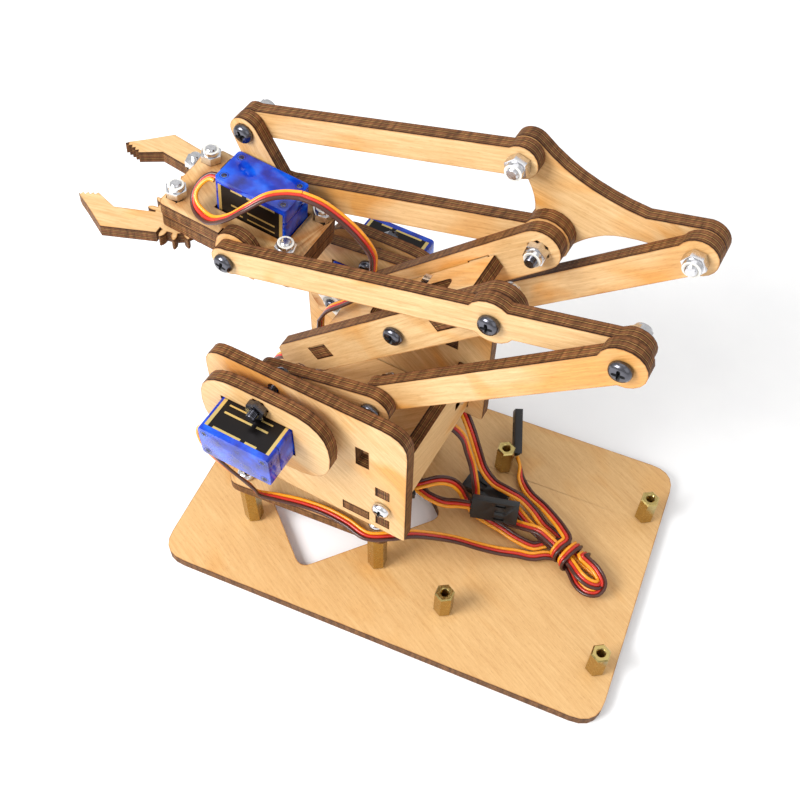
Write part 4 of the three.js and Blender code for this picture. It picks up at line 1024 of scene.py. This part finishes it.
def servo(name, body, matrix, label_side):
    """A micro servo with its shaft along +z: three-part case, tabs, boss, spline and sticker."""
    form = bmesh.new()
    for low, high, inset in ((-BELOW, -13.4, 0), (-13.5, -13.1, SEAM), (-13.2, 1.4, 0), (1.3, 1.7, SEAM),
                             (1.6, ABOVE, 0)):
        case_layer(form, low, high, inset)
    for x, way in ((-BACK, -1), (FRONT, 1)):
        prism(form, tab_outline(x - 0.3 * way, x + TAB * way), -TAB_THICKNESS, 0, 0.2)
        for y in (-3.6, 3.6):
            slab(form, (x - 0.2 * way, y - 0.35, -4.6), (x + 1.3 * way, y + 0.35, -2.4), 0.12)
    boss = ABOVE - 0.5
    lathe(form, [(0, boss), (5.9, boss), (5.9, 7.3), (5.6, 7.7), (3.4, 7.7), (3.2, 7.4), (0, 7.4)], 40)
    lathe(form, [(0, boss), (2.6, boss), (2.6, 7.0), (2.3, 7.3), (0, 7.3)], matrix=shift(-6.2, 0, 0))
    outline = [polar(2.3 if k % 2 else 2.0, 180 * k / SPLINE_TEETH) for k in range(SPLINE_TEETH * 2)]
    prism(form, outline, 7.3, 10.7, 0, 4)
    for x in (-BACK + 2.0, FRONT - 2.0):
        for y in (-HALF + 2.0, HALF - 2.0):
            at = shift(x, y, -BELOW)
            # The counterbore and the cross slots take the second material, painted as shade.
            lathe(form, [(1.25, -0.02), (1.1, -0.02), (1.1, 0.35), (0, 0.35)], 20, 1, at)
            lathe(form, [(0, -0.16), (0.6, -0.12), (0.9, 0.05), (0.9, 0.30), (0, 0.30)], 16, 2, at)
            for wide, deep in ((0.55, 0.12), (0.12, 0.55)):
                slab(form, (-wide, -deep, -0.18), (wide, deep, -0.1), 0, 1, at)
    slab(form, (FRONT - 0.4, -2.4, -18.0), (FRONT + 0.5, 2.4, -15.9), 0.3, 3)
    mesh = finish_mesh(name, form, matrix, 30)
    made = piece(f"{name}_case", mesh, body, (blue, blue_shade, nickel, black_plastic, brass))
    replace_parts(made, name)
    sticker(name, body, matrix, label_side)


def sticker(name, body, matrix, side):
    """A thin foil label flat on one long side of the case."""
    x0, x1, z0, z1 = -BACK + 0.9, FRONT - 1.2, -16.6, -3.4
    columns, rows = 12, 8
    form = bmesh.new()
    layer = form.verts.layers.float_vector.new("label")
    grid = {}
    for face in (0, 1):
        for i in range(columns + 1):
            for j in range(rows + 1):
                px, pz = i / columns, j / rows
                y = side * (HALF - 0.01 + 0.05 * face)
                v = form.verts.new((x0 + (x1 - x0) * px, y, z0 + (z1 - z0) * pz))
                v[layer] = (px if side < 0 else 1 - px, pz, 0)
                grid[face, i, j] = v

    def quad(*corners):
        form.faces.new([grid[corner] for corner in corners])

    for i in range(columns):
        for j in range(rows):
            for face in (0, 1):
                quad((face, i, j), (face, i + 1, j), (face, i + 1, j + 1), (face, i, j + 1))
        for j in (0, rows):
            quad((0, i, j), (0, i + 1, j), (1, i + 1, j), (1, i, j))
    for j in range(rows):
        for i in (0, columns):
            quad((1, i, j), (1, i, j + 1), (0, i, j + 1), (0, i, j))
    mesh = finish_mesh(f"{name}_label", form, matrix, 30)
    piece(f"{name}_label", mesh, body, (foil,))


GRIPPER_SHAFT = Vector((16.8, -2.8))
GRIPPER_TAB = -SHEET - TAB_THICKNESS
servo("near_servo", "turntable", turned_to(
    ARM, (SHOULDER.x, NEAR_SIDE_OUTER + GAP, SHOULDER.y), ((1, 0, 0), (0, 0, 1), (0, -1, 0))), 1)
servo("far_servo", "turntable", turned_to(
    ARM, (SHOULDER.x, FAR_SIDE_OUTER - GAP, SHOULDER.y), ((1, 0, 0), (0, 0, -1), (0, 1, 0))), -1)
servo("gripper_servo", "gripper", turned_to(
    GRIP, (*GRIPPER_SHAFT, GRIPPER_TAB), ((1, 0, 0), (0, -1, 0), (0, 0, -1))), -1)
servo("base_servo", "base", turned_to(
    ROW, (TURN.x, 0, CARRIER_Z - GAP), ((-1, 0, 0), (0, -1, 0), (0, 0, 1))), 1)

# ---------------------------------------------------------------- horns
HORN_HEIGHT = 5.7
CRANK_HEIGHT = 3.9
BOSS_TOP = ABOVE + 3.4
HUB_SEAT = BOSS_TOP + 2 * GAP


def horn(name, node, body, matrix, height, arms):
    """A nylon servo horn: hub, tapered arms with a row of pin holes, and its small screw."""
    form = bmesh.new()
    lathe(form, [(0, 0.02), (2.6, 0.02), (3.2, 0.02), (3.4, 0.25), (3.4, height - 0.3), (3.15, height),
                 (2.2, height), (2.2, height - 0.5), (0, height - 0.5)], 32)
    for length, angle in arms:
        outline = arc(2.6, angle + 90, 180, 8) + arc(1.9, angle - 90, 180, 12, polar(length, angle))
        prism(form, outline, height - 1.6, height, 0.25)
        for reach in (5.2, 7.2, 9.2, 11.2, 13.2, 15.2, 17.2):
            if reach <= length + 0.3:
                # Pin holes take the second material: near-black painted as shade in the hole.
                lathe(form, [(0.72, height + 0.015), (0.46, height + 0.015), (0.46, height - 0.25),
                             (0, height - 0.25)], 14, 1, shift(*polar(reach, angle), 0))
    pan_head(form, height - 0.5, 2, 2.1, 1.9)
    made = piece(name, finish_mesh(name, form, matrix), body, (nylon, hollow, nickel))
    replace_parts(made, node)


def on_shoulder(degrees, across, turn):
    """The frame of a horn on the shoulder's axis, with its arm along a line of the arm plane."""
    return (ARM @ shift(SHOULDER.x, 0, SHOULDER.y) @ Matrix.Rotation(-math.radians(degrees), 4, "Y")
            @ shift(0, across, 0) @ Matrix.Rotation(math.radians(turn), 4, "X"))


DOWN_TURN = Matrix.Rotation(math.pi, 4, "X")
turn_spot = Matrix.Rotation(-ARM_YAW, 3, "Z") @ (TURN - Vector((0, ARM_SIDE, 0)))
horn("turntable_disc_horn", "turntable_horn", "turntable",
     ARM @ shift(turn_spot.x, turn_spot.y, CARRIER_Z + BOSS_TOP), HORN_HEIGHT, [(17, 20), (17, 200)])
horn("shoulder_servo_horn", "shoulder_horn", "upper_arm",
     on_shoulder(BEAM_ANGLE + 180, FAR_SIDE_OUTER - GAP + HUB_SEAT + 1.1, -90), HORN_HEIGHT,
     [(7, 90), (7, -90)])
horn("lever_servo_horn", "lever_horn", "lever",
     on_shoulder(FOREARM_ANGLE + 180, NEAR_SIDE_OUTER + 2 * GAP - HUB_SEAT, 90), HORN_HEIGHT, [(17, 0)])
horn_seat = GRIPPER_TAB - HUB_SEAT
crank_angle = math.degrees(math.atan2(-CLAW_PIN.y, CLAW_PIN.x))
horn("claw_servo_horn", "claw_horn", "claw_crank",
     GRIP @ shift(*GRIPPER_SHAFT, 0) @ DOWN_TURN @ shift(0, 0, -horn_seat), CRANK_HEIGHT,
     [(CLAW_PIN.length, crank_angle)])

# ---------------------------------------------------------------- claw drive
link_seat = CRANK_HEIGHT + GAP - horn_seat
pin_height = 2 * SHEET
crank_spot = (*(GRIPPER_SHAFT + CLAW_PIN), 0)
pin_spot = (*(Vector(CLAW_PIVOTS["far"]) + CLAW_PIN), 0)
fastener("crank_screw", "claw_crank", GRIP, crank_spot, DOWN, link_seat + PLY + GAP, 2.9 - horn_seat)
fastener("claw_link_screw", "far_claw", GRIP, pin_spot, DOWN, link_seat + PLY + GAP,
         pin_height - 4.3, pin_height, locking=False)
form = bmesh.new()
spacer = (pin_height + PLY + 0.05, link_seat - GAP)
lathe(form, [(1.5, spacer[0]), (2.6, spacer[0]), (2.6, spacer[1]), (1.5, spacer[1])])
spacer_mesh = finish_mesh("claw_link_spacer", form, GRIP @ shift(*pin_spot) @ DOWN_TURN)
piece("claw_link_spacer", spacer_mesh, "far_claw", (bright,))

# ---------------------------------------------------------------- floor and light
floor_mesh = bpy.data.meshes.new("floor")
floor_mesh.from_pydata([(-3, -3, 0), (3, -3, 0), (3, 3, 0), (-3, 3, 0)], [], [(0, 1, 2, 3)])
floor = add_object("floor", floor_mesh)
floor.location.z = -0.0002
paper, tree, shader = material("white_paper", (0.93, 0.93, 0.93), 0.85)
fibres = noise_of(tree, position(tree), 40.0)
tint = ramp(tree, fibres, [(0.3, (0.92, 0.92, 0.925)), (0.7, (0.95, 0.95, 0.95))])
tree.links.new(tint, shader.inputs["Base Color"])
floor_mesh.materials.append(paper)

world = bpy.data.worlds.new("studio")
world.use_nodes = True
set_inputs(world.node_tree.nodes["Background"], {"Color": (1, 1, 1, 1), "Strength": 0.7})
bpy.context.scene.world = world


def lamp(name, spot, size, power):
    """A soft square light aimed at the middle of the object."""
    data = bpy.data.lights.new(name, "AREA")
    data.shape = "SQUARE"
    data.size = size
    data.energy = power
    made = add_object(name, data)
    made.location = spot
    made.rotation_euler = (MIDDLE - Vector(spot)).to_track_quat("-Z", "Y").to_euler()


MIDDLE = Vector((0.05, 0, 0.06))
lamp("key", (0.38, 0.36, 0.46), 0.3, 4.6)
lamp("fill", (-0.6, 0.5, 0.6), 0.7, 1.3)
lamp("overhead", (0.05, -0.15, 0.95), 0.8, 1.7)
bpy.context.scene.view_settings.view_transform = "Standard"
